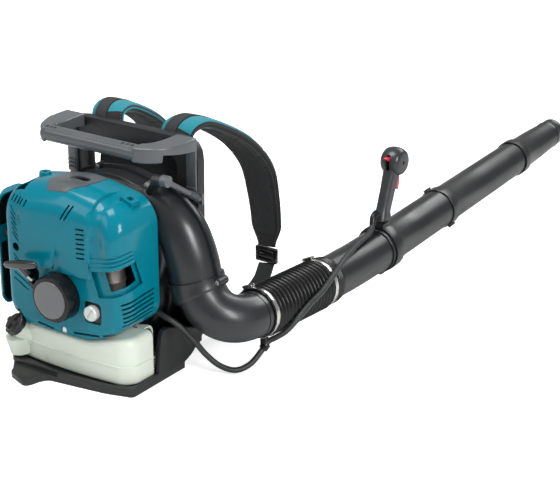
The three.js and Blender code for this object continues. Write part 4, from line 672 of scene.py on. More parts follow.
finished("middle_pipe", bayonet_pipe(0.3, 281, 46.5, 45.5, 51, 44, []), pipe_plastic)
finished("long_pipe", bayonet_pipe(281.6, 381, 44.5, 42.5, 48.5, 34, [2.4, 2.4 + pi]), pipe_plastic)
nozzle_profile = [
    (45.4, 0), (46, 0.8), (46, 25), (45.5, 26.5), (40.9, 33), (40.5, 34.5), (39.5, 92), (35, 195), (35.4, 199),
    (36, 200.5), (36, 205.5), (35.2, 206.8), (33.5, 210), (33.5, 231), (34.2, 233), (34.5, 235.2), (34, 236),
    (32, 236), (31.5, 206), (36.9, 92), (37.9, 34), (43.4, 26), (43.4, 0)]
finished("nozzle", lathe(nozzle_profile, 96, STRAIGHT @ shift(0, 662.9, 0), wrap=True), pipe_plastic)
rounded_edges("handle_clamp", pipe_plastic, 0.001, 3)

# -------- control handle
# A leaning grip of dark grey plastic with a round head stands on the clamp. Its stem is drawn through
# rounded sections, its head is turned, and the trigger, the lever and the primer bulb are red plastic.
CLAMP_INNER, GRIP_LEAN = 51.3 / cos(pi / 28), 24
GRIP_AT = STRAIGHT @ shift(0, 25, CLAMP_INNER + 11.3) @ spin(-GRIP_LEAN, "X")


def corner_arc(cx, cy, radius, start, steps):
    """Points of a quarter circle that starts in a direction in degrees."""
    return [(cx + radius * cos(t), cy + radius * sin(t))
            for t in (radians(start + 90 * k / steps) for k in range(steps + 1))]


def rounded_ring(x0, x1, y0, y1, radius, arc=10, edge=4):
    """Points in millimetres round a rectangle with round corners, with points along its edges."""
    left, right, foot, top = x0 + radius, x1 - radius, y0 + radius, y1 - radius
    arcs = [corner_arc(cx, cy, radius, start, arc)
            for cx, cy, start in ((right, foot, -90), (right, top, 0), (left, top, 90), (left, foot, 180))]
    ring = []
    for points, following in zip(arcs, arcs[1:] + arcs[:1]):
        (lx, ly), (gx, gy) = points[-1], following[0]
        ring += points + [(lx + (gx - lx) * k / (edge + 1), ly + (gy - ly) * k / (edge + 1))
                          for k in range(1, edge + 1)]
    return ring


def between(stations, at):
    """A smooth value at one place from (place, value) pairs."""
    for (a, low), (b, high) in zip(stations, stations[1:]):
        if at <= b:
            return low + (high - low) * smooth(at, a, b)


grip_plastic = moulding("grip_plastic", (0.026, 0.028, 0.031), 0.34, mottle=0.1, bump=0.12)
lever_red = moulding("lever_red", (0.62, 0.016, 0.03), 0.28, mottle=0.04, coat=0.3)
stem_rings = []
for z in range(0, 129, 4):
    depth = between([(0, 19), (30, 17), (70, 18), (104, 19), (128, 20)], z)
    width = between([(0, 17), (30, 14), (70, 14), (104, 15), (128, 17)], z)
    foot = tan(radians(GRIP_LEAN)) * max(0.0, 1 - z / 30)
    stem_rings.append([GRIP_AT @ mm(x, y, z + (y + depth) * foot)
                       for x, y in rounded_ring(-width, width, -depth, depth, 11)])
head_profile = [(20, -24), (24, -23.2), (27.4, -20.6), (30, -16), (31.8, -10), (32.8, -4), (33, 0)]
head_profile += [(r, -y) for r, y in reversed(head_profile[:-1])]
head_at = GRIP_AT @ shift(0, 4, 140) @ spin(90, "Z")
hollows = [slab((12, 31, 46), at=(0, 18.5, 97)), slab((10, 34, 34), at=(0, -23, 133)),
           rod((10, 4, 140), (40, 4, 140), 4)]
grip = carved(skin(stem_rings), "+", lathe(head_profile, 72, head_at),
              "-", *(placed(hollow, GRIP_AT) for hollow in hollows))
finished("control_grip", grip, grip_plastic, 34)
as_piece("grip_hub_disc", lathe([(15, 23.9), (15, 25.2), (13.6, 26)], 48, head_at), casing_plastic,
         stands_for="control_grip")
trigger_outline = [(11, 114), *bow((26, 117), (41, 100), (38, 78), 8),
                   *bow((33, 79), (27, 82), (21, 97), 8), (11, 104)]
trigger = prism(trigger_outline, (-5.7, 5.7), lambda y, z, x: GRIP_AT @ mm(x, y, z))
finished("throttle_trigger", bevelled(trigger, 0.0014, 4, 40), lever_red, 40)
rounded_edges("speed_lever", lever_red, 0.0012, 3)
rounded_edges("primer_bulb", lever_red, 0.0008, 3)

# -------- fuel tank and cap
# A blow-moulded tank of milky polyethylene with a narrow seam band, and a black cap with finger lobes and
# a raised cross. The spring stands in a cleft at the right.
TANK_TOP, TANK_WALL, TANK_RISE = 97, 3, 18


def tank_ring(z, inset, skew=0.0):
    ring = []
    for x, y in rounded_ring(-152 + inset, 164 - inset, -150 + inset, -34 - inset, 34 - inset / 2, 12, 12):
        belly = 10 * ((x - 10) / 160)**2 * (1 - limited((y + 116) / 36))
        ring.append(mm(x, y + belly, z + skew * smooth(x, 50, 150)))
    return ring


def tank_skin(inset):
    rings = []
    for t in quarter(15):
        rings.append(tank_ring(14.6 + inset + 7 * (1 - cos(t)), 8 * (1 - sin(t)) + inset))
    for z in (34, 46, 56, 64, 74):
        rings.append(tank_ring(z, inset, TANK_RISE * max(0, (z - 56) / 38)))
    for t in reversed(quarter(10)):
        z = TANK_TOP - inset - 13 * (1 - cos(t))
        rings.append(tank_ring(z, 15 * (1 - sin(t)) + inset, TANK_RISE * min(1, (z - 56) / 38)))
    return skin(rings)


def neck_lobe(inset):
    foot, top = mm(-125, -144, 25 + inset), mm(-127, -147, 62 - inset)
    return tube([foot.lerp(top, k / 12) for k in range(13)], lambda t: (23 + 6 * t - inset) * 0.001, 48)


neck_way = Vector((-0.3, -0.62, 0.72)).normalized()
neck_foot = mm(-112, -132, 61)
neck_end = neck_foot + neck_way * 0.034
tank_wall = carved(gathered([slab((3.5, 38, 73.4), at=(138.75, -50, 54.3))]), "&", tank_skin(0.5))
tank_side = carved(slab((26, 3.4, 73.4), at=(150, -67.3, 54.3)), "&", tank_skin(0.5))
tank = carved(
    tank_skin(0),
    "+", skin([tank_ring(z, inset) for z, inset in ((55, -1), (55.6, -2), (57.4, -2), (58, -1))]),
    neck_lobe(0), tube([neck_foot - neck_way * 0.026, neck_end], lambda t: 0.026 - 0.005 * t, 56),
    "-", tank_skin(TANK_WALL), neck_lobe(TANK_WALL),
    tube([neck_foot - neck_way * 0.016, neck_end + neck_way * 0.009], 0.016, 48),
    slab((50, 46, 120), at=(165, -43, 60)), "+", tank_wall, tank_side)
finished("fuel_tank", tank, moulding("tank_plastic", (0.66, 0.72, 0.625), 0.32, mottle=0.03, bump=0.03), 34)
cap_turn = neck_way.to_track_quat("Z", "Y").to_matrix().to_4x4()
cap_at = Matrix.Translation(neck_end + neck_way * 0.0003) @ cap_turn


def cap_ring(z, inset):
    radii = [(a, 25 - inset - 1.8 * max(0.0, cos(6 * a))**3) for a in turns(216)]
    return [cap_at @ mm(r * cos(a), r * sin(a), z) for a, r in radii]


cap_parts = [rod((0, 0, 13), (0, 0, 18), 22, 64, 18), bevelled(slab((34, 10, 8), at=(0, 0, 18)), 0.0016, 4),
             bevelled(slab((10, 34, 8), at=(0, 0, 18)), 0.0016, 4), rod((0, 0, -12), (0, 0, 2), 15.7, 48)]
cap = carved(skin([cap_ring(z, inset) for z, inset in ((0, 0.8), (0.8, 0), (12, 0), (13.3, 0.5), (14, 1.6))]),
             "+", *(placed(part, cap_at) for part in cap_parts))
finished("fuel_cap", cap, moulding("cap_plastic", (0.012, 0.012, 0.013), 0.3, mottle=0.08))

# -------- engine cover and air cleaner cover
# Glossy teal mouldings. The cover is drawn as rings from its front face to its open rear, hollowed, and
# then cut for the louvres, the exhaust pocket, the starter, the cap and the shoulder openings. A grey
# plate with a hollow for the finger follows its surface over the plug, and foam fills the air cleaner.
FRONT, REAR, COVER_WALL = -152, -31, 3
BLOCK_LEFT, BLOCK_RIGHT, BLOCK_FOOT, VALLEY, CREASE = -101, 83, 237, 98, 1.3
FACE_RINGS = (144, 124, 110, 98, 88, 80, 76, 74.4, 73.4, 72.6, 71.6, 69, 65.5, 62.6, 61.4, 60.6, 59.4, 56, 51,
              46, 40)


def marked(start, end, count, marks):
    """Evenly spaced places between two, with four of them moved close round each mark."""
    places = [start + (end - start) * k / (count + 1) for k in range(1, count + 1)]
    way = 1 if end > start else -1
    for mark in marks:
        if min(start, end) + 14 < mark < max(start, end) - 14:
            first = min(range(len(places) - 3), key=lambda i: abs((places[i] + places[i + 3]) / 2 - mark))
            for k, shifted in enumerate((-1.6, -0.5, 0.5, 1.6)):
                places[first + k] = mark + shifted * way
    return places


def cover_relief(x, z):
    """How far the skin stands out: the middle block, the valley at its right and the swell beyond."""
    block = smooth(x, BLOCK_LEFT - CREASE, BLOCK_LEFT + CREASE) * (
        1 - smooth(x, BLOCK_RIGHT - CREASE, BLOCK_RIGHT + CREASE))
    block *= smooth(z, BLOCK_FOOT - CREASE, BLOCK_FOOT + CREASE)
    valley = exp(-((x - VALLEY) / 12)**2) * smooth(z, 282, 312)
    swell = exp(-((x - 134) / 20)**2) * smooth(z, 276, 300) * (1 - smooth(z, 330, 392))
    sill = (1 - smooth(z, 106, 128)) * (1 - smooth(abs(x), 120, 150))
    return 6.5 * block - 3.5 * valley + 6.5 * swell + 3 * sill - 1.6


def cover_ring(y, inset, crown, wall):
    side = inset + wall
    x0, x1, low = -162 + side, 156 - side, 98.5 + inset * 0.12 + wall
    high = 381 - min(inset, 34) * 1.1 - max(0, inset - 34) * 0.5 - wall
    radius = 48 - inset * 0.1 - wall
    radius = max(3.0, min(radius, (x1 - x0) / 2 - 2, (high - low) / 2 - 2))
    left, right, foot, top = x0 + radius, x1 - radius, low + radius, high - radius
    sides = [(right, foot, -90, [(x1, z) for z in marked(foot, top, 22, (BLOCK_FOOT,))]),
             (right, top, 0, [(x, high) for x in marked(right, left, 32, (BLOCK_RIGHT, BLOCK_LEFT))]),
             (left, top, 90, [(x0, z) for z in marked(top, foot, 22, (BLOCK_FOOT,))]),
             (left, foot, 180, [(x, low) for x in marked(left, right, 32, ())])]
    outline = []
    for cx, cz, start, edge in sides:
        outline += corner_arc(cx, cz, radius, start, 14) + edge
    ring = []
    for x, z in outline:
        lift = 27 * crown * max(0.0, 1 - abs(x / 165)**1.3) * smooth(z, 205, 325)
        rise = 22 * smooth(x, 40, 156) * (1 - limited((z - 146.5) / 61.5))
        ring.append(mm(x, y, z + lift + rise))
    return ring


def cover_skin(wall):
    rings = []
    for inset in FACE_RINGS:
        u = 1 - (inset - 34) / 110
        rings.append(cover_ring(FRONT + wall - 2.6 * (1 - u * u), inset, 0.25 - 0.1 * (1 - u), wall))
    for t in quarter(9):
        y = FRONT + 44 * (1 - cos(t)) + wall * (1 - 0.9 * sin(t)**2)
        rings.append(cover_ring(y, 34 * (1 - sin(t)), 0.25 + 0.65 * sin(t)**2, wall))
    for y, crown in ((-88, 0.93), (-66, 0.96), (REAR + (10 if wall > 0 else 0), 1)):
        rings.append(cover_ring(y, 0, crown, wall))
    mesh = skin(rings)
    if wall < 5:
        normals = [vertex.normal.copy() for vertex in mesh.vertices]
        for vertex, normal in zip(mesh.vertices, normals):
            x, y, z = vertex.co * 1000
            front = limited(1 - (y - wall - FRONT) / 44)
            way = Vector((normal.x, 0, normal.z)) * (1 - front) + Vector((0, -front, 0))
            vertex.co += way.normalized() * cover_relief(x, z) * (1 - smooth(y, -84, -50)) * 0.001
    return mesh


def corner_box(length, low, high, along=0):
    """A box across the front right corner that leans up to the right."""
    return slab((length, 90, high - low), [("Y", radians(-14)), ("Z", radians(42))], (120, -122, 249),
                (along, 0, (low + high) / 2))


def slots(size, lean, places):
    """Equal leaning slots, one at each place."""
    return gathered([slab(size, [("Y", lean)], place) for place in places])


def plug_prism(outline, low, high):
    """A piece that stands across the cover's sloping top."""
    return prism(outline, (low, high), lambda x, y, z: plug_frame @ mm(x, y, z))


outer, thick_wall, half_wall = cover_skin(0), cover_skin(12), cover_skin(1.5)
pocket_wall = carved(corner_box(96, -41, 25), "&", outer, "-", thick_wall)
brow = carved(carved(corner_box(90, 22, 29), "&", cover_skin(-9)),
              "+", carved(corner_box(90, 28, 36), "&", cover_skin(-6)),
              carved(corner_box(90, 35, 44), "&", cover_skin(-3)), "-", half_wall)
lug = carved(rod((-112, -58, 372), (-112, -58, 399), 15, 40, 12), "-", half_wall)
loop = carved(slab((30, 26, 16), [("Y", 0.32)], (120, -72, 385)), "-", half_wall)
plug_frame = shift(0, -76, 398) @ spin(11, "X") @ shift(0, 76, 0)
face = FRONT + 6
cover = carved(
    outer, "-", cover_skin(COVER_WALL), "+", pocket_wall, brow, lug, loop,
    "-", carved(corner_box(90, -38, 22), "-", cover_skin(9)), corner_box(52, -28, 20, 8),
    gathered([slab((60, 94 - i * 2.4, 4.4), [("X", radians(5.5))], (148, -92, 196 - i * 9.8))
              for i in range(6)]),
    slots((22, 40, 4), -0.1, [(62, FRONT, 340 - i * 10) for i in range(7)]),
    slots((4, 60, 36), 0.5, [(20 + i * 10, FRONT + 10, 366) for i in range(2)]),
    slots((4, 60, 16), 0.35, [(-128 + i * 11, face, 364) for i in range(5)]),
    slots((22, 60, 3.6), 0.85, [(-122 + i, face, 340 - i * 11) for i in range(6)]),
    slots((20, 60, 3.6), 0.8, [(-118, face, 240), (-116, face, 229)]),
    gathered([slab((length, 60, 3.6), [("Y", 0.45)], (x, face, z))
              for length, x, z in ((48, -104, 196), (44, -108, 184))]),
    gathered([slab((length, 40, 4.5), [("Y", lean)], (x, FRONT + 10, z))
              for length, lean, x, z in ((42, 0.1, -43, 108), (66, -0.1, 64, 114), (18, -0.2, 112, 121))]),
    slab((38, 46, 60), [("Y", -0.3)], (-114, -107, 384)), slab((11, 13, 60), [("Y", 0.32)], (120, -72, 385)),
    rod((-112, -58, 360), (-112, -58, 420), 5, 24), shaft_rod(-200, -100, 9, 32, -118, 262),
    plug_prism([(-60, -44), (-44, -104), (-24, -124), (14, -120), (32, -98), (34, -30)], 0, 60),
    shaft_rod(-220, -100, 50.6, 96),
    prism(rounded_ring(60.4, 103.6, 141.4, 188.6, 9), (-220, -120), lambda x, z, y: mm(x, y, z)),
    lathe([(22, -30), (22, 30)], 48, shift(-78, -144, 216)), shaft_rod(-200, -110, 8, 28, -54, 198),
    tube([neck_foot, neck_end + neck_way * 0.07], 0.029, 64),
    shaft_rod(-200, -100, 3.6, 24, 6, 110), shaft_rod(-200, -146, 7.2, 32, 6, 110),
    slab((244, 138, 35), at=(-4, -69, 107.5)), slab((800, 231.01, 700), at=(0, REAR + 115.5, 300)))
cover_plastic = moulding("cover_plastic", (0.0, 0.172, 0.237), 0.18, grain_height=0.15, mottle=0.03, bump=0.02,
                         coat=0.2, specular=0.15)
finished("engine_cover", cover, cover_plastic, 28)


def cleaner_ring(x, front, inset, wall):
    side = inset + wall
    corner = min(24, (-30 - front - side * 1.2) / 2 - 1)
    outline = rounded_ring(front + side, -30 - side * 0.2, 112 + side, 354 - side, corner)
    return [mm(x, y, z) for y, z in outline]


def cleaner_skin(wall):
    rings = []
    for t in quarter(9):
        s = 22 * (1 - cos(t))
        rings.append(cleaner_ring(-214 + wall * (1 - sin(t)) + s, -136 + 46 - 1.5 * s + 0.007 * s * s,
                                  16 * (1 - sin(t)), wall))
    rings.append(cleaner_ring(-185, -132, 0, wall))
    rings.append(cleaner_ring(-167 if wall else -177, -136, 0, wall))
    return skin(rings)


primer_lip = carved(slab((3, 37, 36), at=(-178.5, -116.5, 270)),
                    "+", slab((17, 8, 36), at=(-171.5, -102, 270)))
cleaner = carved(cleaner_skin(0), "-", cleaner_skin(COVER_WALL), "+", primer_lip,
                 "-", gathered([slab((44, 50, 5), at=(-208, -115, 192.5 + 14 * i)) for i in range(4)]),
                 shaft_rod(-120, -80, 5.95, 32, -170.5, 270))
as_piece("air_cleaner_finished", cleaner, cover_plastic, "air_cleaner_cover", 28)
foam = carved(cleaner_skin(7), "&", slab((30, 200, 400), at=(-196, -80, 232)))
filter_foam = moulding("filter_foam", (0.01, 0.01, 0.01), 0.95, grain_scale=500, bump=0.5, specular=0.1)
as_piece("air_filter_foam", foam, filter_foam, stands_for="air_cleaner_cover", sharp=50)
plate_outline = [(-62, -34), (-61, -98), (-38, -134), (8, -132), (33, -100), (35, -34)]
plug_plate = carved(cover_skin(-1.6), "-", cover_skin(2.2), "&", plug_prism(plate_outline, -40, 60),
                    "-", plug_prism(rounded_ring(-26, 20, -82, -62, 8), -40, 60),
                    "+", plug_prism(rounded_ring(-30, 24, -86, -58, 10), -6, -2))
finished("plug_cover", plug_plate, handle_plastic, 34)

# -------- engine
# Cast and machined aluminium parts, a heat-stained steel muffler and a white spark plug, all seen only
# through the openings of the cover and of the frame.
engine_alloy = moulding("engine_alloy", (0.42, 0.43, 0.44), 0.5, grain_scale=1400, bump=0.2, mottle=0.15,
                        metallic=0.9)
for node in ("crankcase", "cylinder", "rocker_cover", "carburettor", "crankshaft"):
    frame["nodes"][node].data.materials.clear()
    frame["nodes"][node].data.materials.append(engine_alloy)
rounded_edges("muffler", moulding("muffler_steel", (0.3, 0.27, 0.24), 0.45, mottle=0.3, metallic=0.9), 0.0006)
rounded_edges("spark_plug", moulding("white_ceramic", (0.75, 0.75, 0.72), 0.3, mottle=0.05), 0.0004)

# -------- starter
# A turned black housing with a domed grey badge, a glossy T-handle drawn through rounded sections, and a
# short length of twisted white rope between them.
at_shaft = shift(0, 0, SHAFT_Z)
starter_plastic = moulding("starter_plastic", (0.005, 0.0052, 0.0056), 0.26, mottle=0.08, coat=0.1,
                           specular=0.3)
rope_from, rope_to = Vector((-61, -182.2, 220.6)), Vector((-55.5, -171, 205))
rope_way = (rope_to - rope_from).normalized()
guide = carved(rod(rope_to - rope_way * 7, rope_to + rope_way * 9, 6.5, 36),
               "+", shaft_rod(-174, -133, 6.5, 36, -54, 198),
               "-", rod(rope_to - rope_way * 9, rope_to + rope_way * 0.3, 3.05, 24))
housing_profile = [(44, -186), (46.4, -185.6), (48.4, -183.6), (50, -176), (50, -140), (59, -139), (59, -129)]
housing = carved(lathe(housing_profile, 96, at_shaft),
                 "-", lathe([(40.6, -190), (40.6, -185.2)], 72, at_shaft),
                 lathe([(36, -146), (36, -128)], 48, at_shaft), shaft_rod(-147, -120, 27, 48), "+", guide)
finished("starter_housing", housing, starter_plastic)
badge_profile = [(0.8, -3.2), (10, -3.15), (20, -3.0), (30, -2.72), (37, -2.45), (38.6, -2.2), (39.6, -1.5),
                 (40, 0)]
badge_plastic = moulding("badge_plastic", (0.105, 0.112, 0.118), 0.3, mottle=0.0, shine_change=0.02, coat=0.4)
finished("starter_badge", lathe(badge_profile, 96, shift(0, -186.3, SHAFT_Z)), badge_plastic)
rounded_edges("starter_drum", starter_plastic, 0.0004)
PULL_AT = shift(-72, -188, 246) @ spin(-12, "Y")
bar_rings = []
for k in range(-46, 47, 2):
    h = 9.5 - 3.5 * (k / 42)**2
    if abs(k) > 38:
        h *= max(0.22, sqrt(max(0.0, 1 - ((abs(k) - 38) / 8.2)**2)))
    outline = rounded_ring(-h * 0.8, h * 0.8, -h, h, h * 0.62, 8, 2)
    bar_rings.append([PULL_AT @ mm(k, x, z) for x, z in outline])
gloss_black = moulding("gloss_black", (0.008, 0.0082, 0.009), 0.16, mottle=0.05, bump=0.02, coat=0.7)
stub = placed(rod((2, 0, -4), (9, 5, -24), 9, 40, 7), PULL_AT)
finished("starter_handle", carved(skin(bar_rings), "+", stub), gloss_black, 40)


def woven_surface():
    """Warp and weft in real size, from a UV map in metres: a height, and a colour that follows it: painted
    shade in the hollows of the weave, painted light on its crests.
    """
    tree, given = new_tree("ShaderNodeTree", "woven_surface", {
        "Colour": (0.02, 0.02, 0.02, 1), "Across": 3000.0, "Along": 3000.0, "Contrast": 0.35},
        {"Colour": COLOUR, "Height": FLOAT})
    flat = add_node(tree, "ShaderNodeUVMap", {}, uv_map="UVMap")
    parts = tree.nodes.new("ShaderNodeSeparateXYZ")
    fill(tree, parts, {0: flat})
    waves = [calc(tree, "SINE", calc(tree, "MULTIPLY", parts.outputs[axis], given[count]))
             for axis, count in (("X", "Across"), ("Y", "Along"))]
    weave = calc(tree, "MULTIPLY", *waves)
    # Painted shade and painted light: the colour is darker in the hollows of the weave and lighter on its
    # crests.
    painted_weave_shade = calc(tree, "MULTIPLY_ADD", weave, given["Contrast"], 1)
    add_node(tree, "NodeGroupOutput", {
        "Colour": scaled(tree, given["Colour"], painted_weave_shade), "Height": calc(tree, "MULTIPLY_ADD", weave, 0.5, 0.5)})
    return tree


WOVEN = woven_surface()


def cloth(name, colour, roughness, across, along, contrast, bump=0.5, sheen=0.0):
    # contrast sets how much painted shade and painted light the weave puts into the colour.
    made, shader, _ = surfaced(name, WOVEN, {
        "Colour": (*colour, 1), "Across": across, "Along": along, "Contrast": contrast}, bump, WEAVE_DEPTH)
    fill(made.node_tree, shader, {"Roughness": roughness, "Sheen Weight": sheen})
    return made


def measured(rings):
    """A skin with a UV map in metres: round the ring, and along the way."""
    mesh = skin(rings)
    count = len(rings[0])
    middle = rings[len(rings) // 2]
    around, along = [0.0], [0.0]
    for k in range(count):
        around.append(around[-1] + (middle[(k + 1) % count] - middle[k]).length)
    for a, b in zip(rings, rings[1:]):
        along.append(along[-1] + (sum(b, Vector()) - sum(a, Vector())).length / count)
    layer = mesh.uv_layers.new(name="UVMap")
    for face in mesh.polygons:
        places = [mesh.loops[i].vertex_index % count for i in face.loop_indices]
        joins = len(places) == 4 and 0 in places and count - 1 in places
        for i in face.loop_indices:
            row, place = divmod(mesh.loops[i].vertex_index, count)
            layer.data[i].uv = (around[count] if joins and place == 0 else around[place], along[row])
    return mesh


rope_fibre = cloth("rope_fibre", (0.62, 0.62, 0.6), 0.75, 2400, 900, 0.2)
side = rope_way.orthogonal().normalized()
up = rope_way.cross(side)
rope_rings = []
for i in range(41):
    centre = rope_from + (rope_to - rope_from) * i / 40
    radii = [(a, 1.9 + 0.6 * abs(cos(1.5 * (a - i * 0.45)))) for a in turns(30)]
    rope_rings.append([(centre + side * r * cos(a) + up * r * sin(a)) * 0.001 for a, r in radii])
as_piece("starter_rope_twisted", measured(rope_rings), rope_fibre, "starter_rope", 60,
         bends=("machine", "pull_grip", rope_to * 0.001, rope_from * 0.001))

# -------- oil filler, drain bolt, choke and clip
# A silver slotted cap sits in a black square bezel, a bright bolt below the starter. The cap is turned
# with rounded edges and a slot is cut across it.
cap_silver = moulding("cap_silver", (0.62, 0.64, 0.62), 0.3, mottle=0.04, metallic=0.35)
oil_profile = [(13, -162), (14.8, -161.6), (15.7, -160.6), (16, -159), (16, -149), (15.4, -148), (10, -148),
               (10, -139)]
oil_cap = carved(lathe(oil_profile, 72, shift(82, 0, 166)),
                 "-", slab((22, 5, 5), [("Y", -0.9)], (82, -162, 166)))
finished("oil_cap", oil_cap, cap_silver, 34)
rounded_edges("oil_filler", starter_plastic, 0.0008, 3)
rounded_edges("cover_bolt", clamp_steel, 0.0006)
rounded_edges("choke_lever", starter_plastic, 0.0008)
rounded_edges("cable_clip", starter_plastic, 0.0008)

# -------- springs and rubber mounts
# Zinc-plated coil springs, swept along their helix by a geometry tree, and plain rubber mounts.
spring_steel = moulding("spring_steel", (0.75, 0.75, 0.74), 0.25, mottle=0.05, metallic=0.9)


def coil_spring_tree():
    tree, given = shape_tree("coil_spring", {
        "Turns": 6.0, "Radius": 0.008, "Height": 0.0396, "Wire Radius": 0.0012})
    helix = add_node(tree, "GeometryNodeCurveSpiral", {
        "Resolution": 36, "Rotations": given["Turns"], "Start Radius": given["Radius"],
        "End Radius": given["Radius"], "Height": given["Height"]})
    return end_tree(tree, given, sweep_node(tree, helix, ring_node(tree, 14, given["Wire Radius"])))


coil_spring = coil_spring_tree()
for side_name, x, y in (("right", 151, -46), ("left", -150, -16)):
    coil = placed(grown(coil_spring, courses([]), spring_steel), shift(x, y, 15.5))
    as_piece(f"damper_spring_{side_name}_coil", coil, spring_steel, f"damper_spring_{side_name}", 50)
rounded_edges("rubber_mount_left", hose_rubber, 0.001)
rounded_edges("rubber_mount_right", hose_rubber, 0.001)

# -------- control cable
# A black sheath with fine ridges from the engine in a low loop to the clip, along the hose and up to the
# grip, with a tapered rubber boot at each end. The loop is a free cord held at both ends.
CABLE_RADIUS, CABLE_SIDES = 0.0061, 20
sheath = moulding("cable_sheath", (0.02, 0.0215, 0.023), 0.42, mottle=0.06, bump=0.05)
clip_at = Vector((312, 116, 50))
clip_way = Vector((0.25, 0.68, 0.69)).normalized()
entry = (GRIP_AT @ mm(0, -24, 18)) * 1000
routes = {
    "cable_loop": ([(122, -24.2, 142), (150, -24.2, 134), (176, -23, 127), (196, -10, 108), (212, 8, 78),
                    (228, 24, 46), (254, 38, 21), (282, 54, 12), (300, 80, 20), clip_at - clip_way * 9,
                    clip_at - clip_way * 0.15], None),
    "cable_hose_rear": ([clip_at + clip_way * 0.15, clip_at + clip_way * 7, clip_at + clip_way * 13,
                         (330, 136, 69), (343, 149, 80), (356, 180, 105), (357.4, 219, 121),
                         (357.5, 227, 123.2)],
                        ("machine", "hose_middle", mm(330, 136, 69), mm(357.4, 222, 122))),
    "cable_hose_front": ([(357.5, 227.6, 123.4), (357.4, 236, 125.6), (356, 262, 131), (349, 310, 143),
                          (342, 346, 151)],
                         ("hose_middle", "hose_cuff", mm(357.4, 236, 125.6), mm(343, 340, 150))),
    "cable_pipe": ([(341.9, 346.5, 151.1), (333, 384, 157), (315, 470, 163), (300, 550, 166),
                    entry + Vector((0, -16, -5)), entry],
                   ("hose_cuff", "pipe", mm(333, 384, 157), mm(300, 545, 166))),
}


def spaced_course(tree, mesh, spacing):
    """The edges of a mesh as curves with evenly spaced points."""
    course = add_node(tree, "GeometryNodeMeshToCurve", {"Mesh": mesh})
    return add_node(tree, "GeometryNodeResampleCurve", {"Curve": course, "Length": spacing}, mode="LENGTH")


def sheathing_tree():
    """A skin of round ridges along a course. A ridge height of 0 leaves it plain."""
    tree, given = shape_tree("sheathing", {
        "Radius": CABLE_RADIUS, "Ridge Height": 0.0002, "Ridge Pitch": 0.0034, "Sides": CABLE_SIDES,
        "Step": 0.0009})
    course = spaced_course(tree, given["Geometry"], given["Step"])
    way = tree.nodes.new("GeometryNodeSplineParameter").outputs["Length"]
    ridges = calc(tree, "MULTIPLY", calc(tree, "DIVIDE", way, given["Ridge Pitch"]), 2 * pi)
    ridge = calc(tree, "MULTIPLY", calc(tree, "SINE", ridges), given["Ridge Height"])
    return end_tree(tree, given, sweep_node(tree, course, ring_node(tree, given["Sides"], 1.0),
                                            Scale=calc(tree, "ADD", given["Radius"], ridge)))


sheathing = sheathing_tree()
sheaths = {}
for node, (route, bending) in routes.items():
    covering = grown(sheathing, courses([curve_through(route, 24)]), sheath)
    sheaths[node] = as_piece(f"{node}_sheath", covering, sheath, node, 60, bends=bending)
loop_skin = [vertex.co for vertex in sheaths["cable_loop"].data.vertices]
loop_path = [sum(loop_skin[i:i + CABLE_SIDES], Vector()) / CABLE_SIDES
             for i in range(0, len(loop_skin), CABLE_SIDES)]
exit_boot = as_piece("cable_exit_boot", tube(loop_path[:27], lambda t: 0.0095 - 0.0027 * t, 24), hose_rubber,
                     stands_for="cable_loop", sharp=50)
boot_path = curve_through(routes["cable_pipe"][0], 24)[-40:-4]
as_piece("cable_grip_boot", tube(boot_path, lambda t: 0.0068 + 0.0024 * t, 24), hose_rubber,
         stands_for="cable_pipe", sharp=50)

# -------- shoulder straps and webbing
# Padded straps of black fabric with teal panels, woven strips, stitching and piping. Each follows its
# route over the shoulder with a pillow-shaped section, and webbing leads from its buckle to the frame.
HALF_WIDE, HALF_THICK, EDGE_SEAM, PATCH_STEPS, FOAM_FILL = 0.0445, 0.013, 0.93, 60, 0.85
SEAMS, SEAM_WIDTH, SEAM_DEPTH = (0.34, 0.52, 0.7, 0.86), 0.0035, 0.16
strap_fabric = cloth("strap_fabric", (0.0075, 0.008, 0.009), 0.92, 2300, 2300, 0.4, sheen=0.15)
strap_teal = cloth("strap_teal", (0.0, 0.2, 0.25), 0.8, 3400, 3400, 0.2, sheen=0.1)
webbing = cloth("strap_webbing_weave", (0.02, 0.0205, 0.022), 0.8, 2100, 4200, 0.5)
thread = moulding("seam_thread", (0.12, 0.13, 0.13), 0.7, mottle=0.1)
strap_route = [(88, 118, 455), (94, 128, 480), (100, 160, 487), (108, 232, 455), (119, 302, 405),
               (129, 350, 342), (134, 366, 275), (138, 371, 210), (142, 368, 152)]
web_route = [(143, 366, 112), (150, 330, 84), (146, 230, 52), (132, 140, 42), (127, 117, 40)]


class Band:
    """A strap's course: at each share of its length a centre, a direction across and one outwards."""

    def __init__(self, route, sign):
        self.line, self.steps = curve_through([(x * sign, y, z) for x, y, z in route], 30), [0.0]
        for a, b in zip(self.line, self.line[1:]):
            self.steps.append(self.steps[-1] + (b - a).length)

    def at(self, share):
        line, steps = self.line, self.steps
        goal = limited(share) * steps[-1]
        i = max(1, next((k for k, s in enumerate(steps) if s >= goal), len(steps) - 1))
        centre = line[i - 1].lerp(line[i], (goal - steps[i - 1]) / (steps[i] - steps[i - 1]))
        along = (line[min(len(line) - 1, i + 2)] - line[max(0, i - 3)]).normalized()
        across = (Vector((1, 0, 0)) - along * along.x).normalized()
        return centre, across, along.cross(across).normalized()


def strap_size(share):
    """Half width and half thickness of the pad, in metres."""
    swell = sin(pi * min(1.0, 0.1 + share * 0.9))
    taper = 1 - 0.4 * smooth(share, 0.9, 1)
    return HALF_WIDE * (0.8 + 0.2 * swell) * taper, HALF_THICK * (0.45 + 0.55 * swell) * taper


def pillow(x):
    """Height of the pad's face at x, from 1 at its middle to 0 at its edge."""
    return max(0.0, 1 - abs(x)**4.4)**0.4


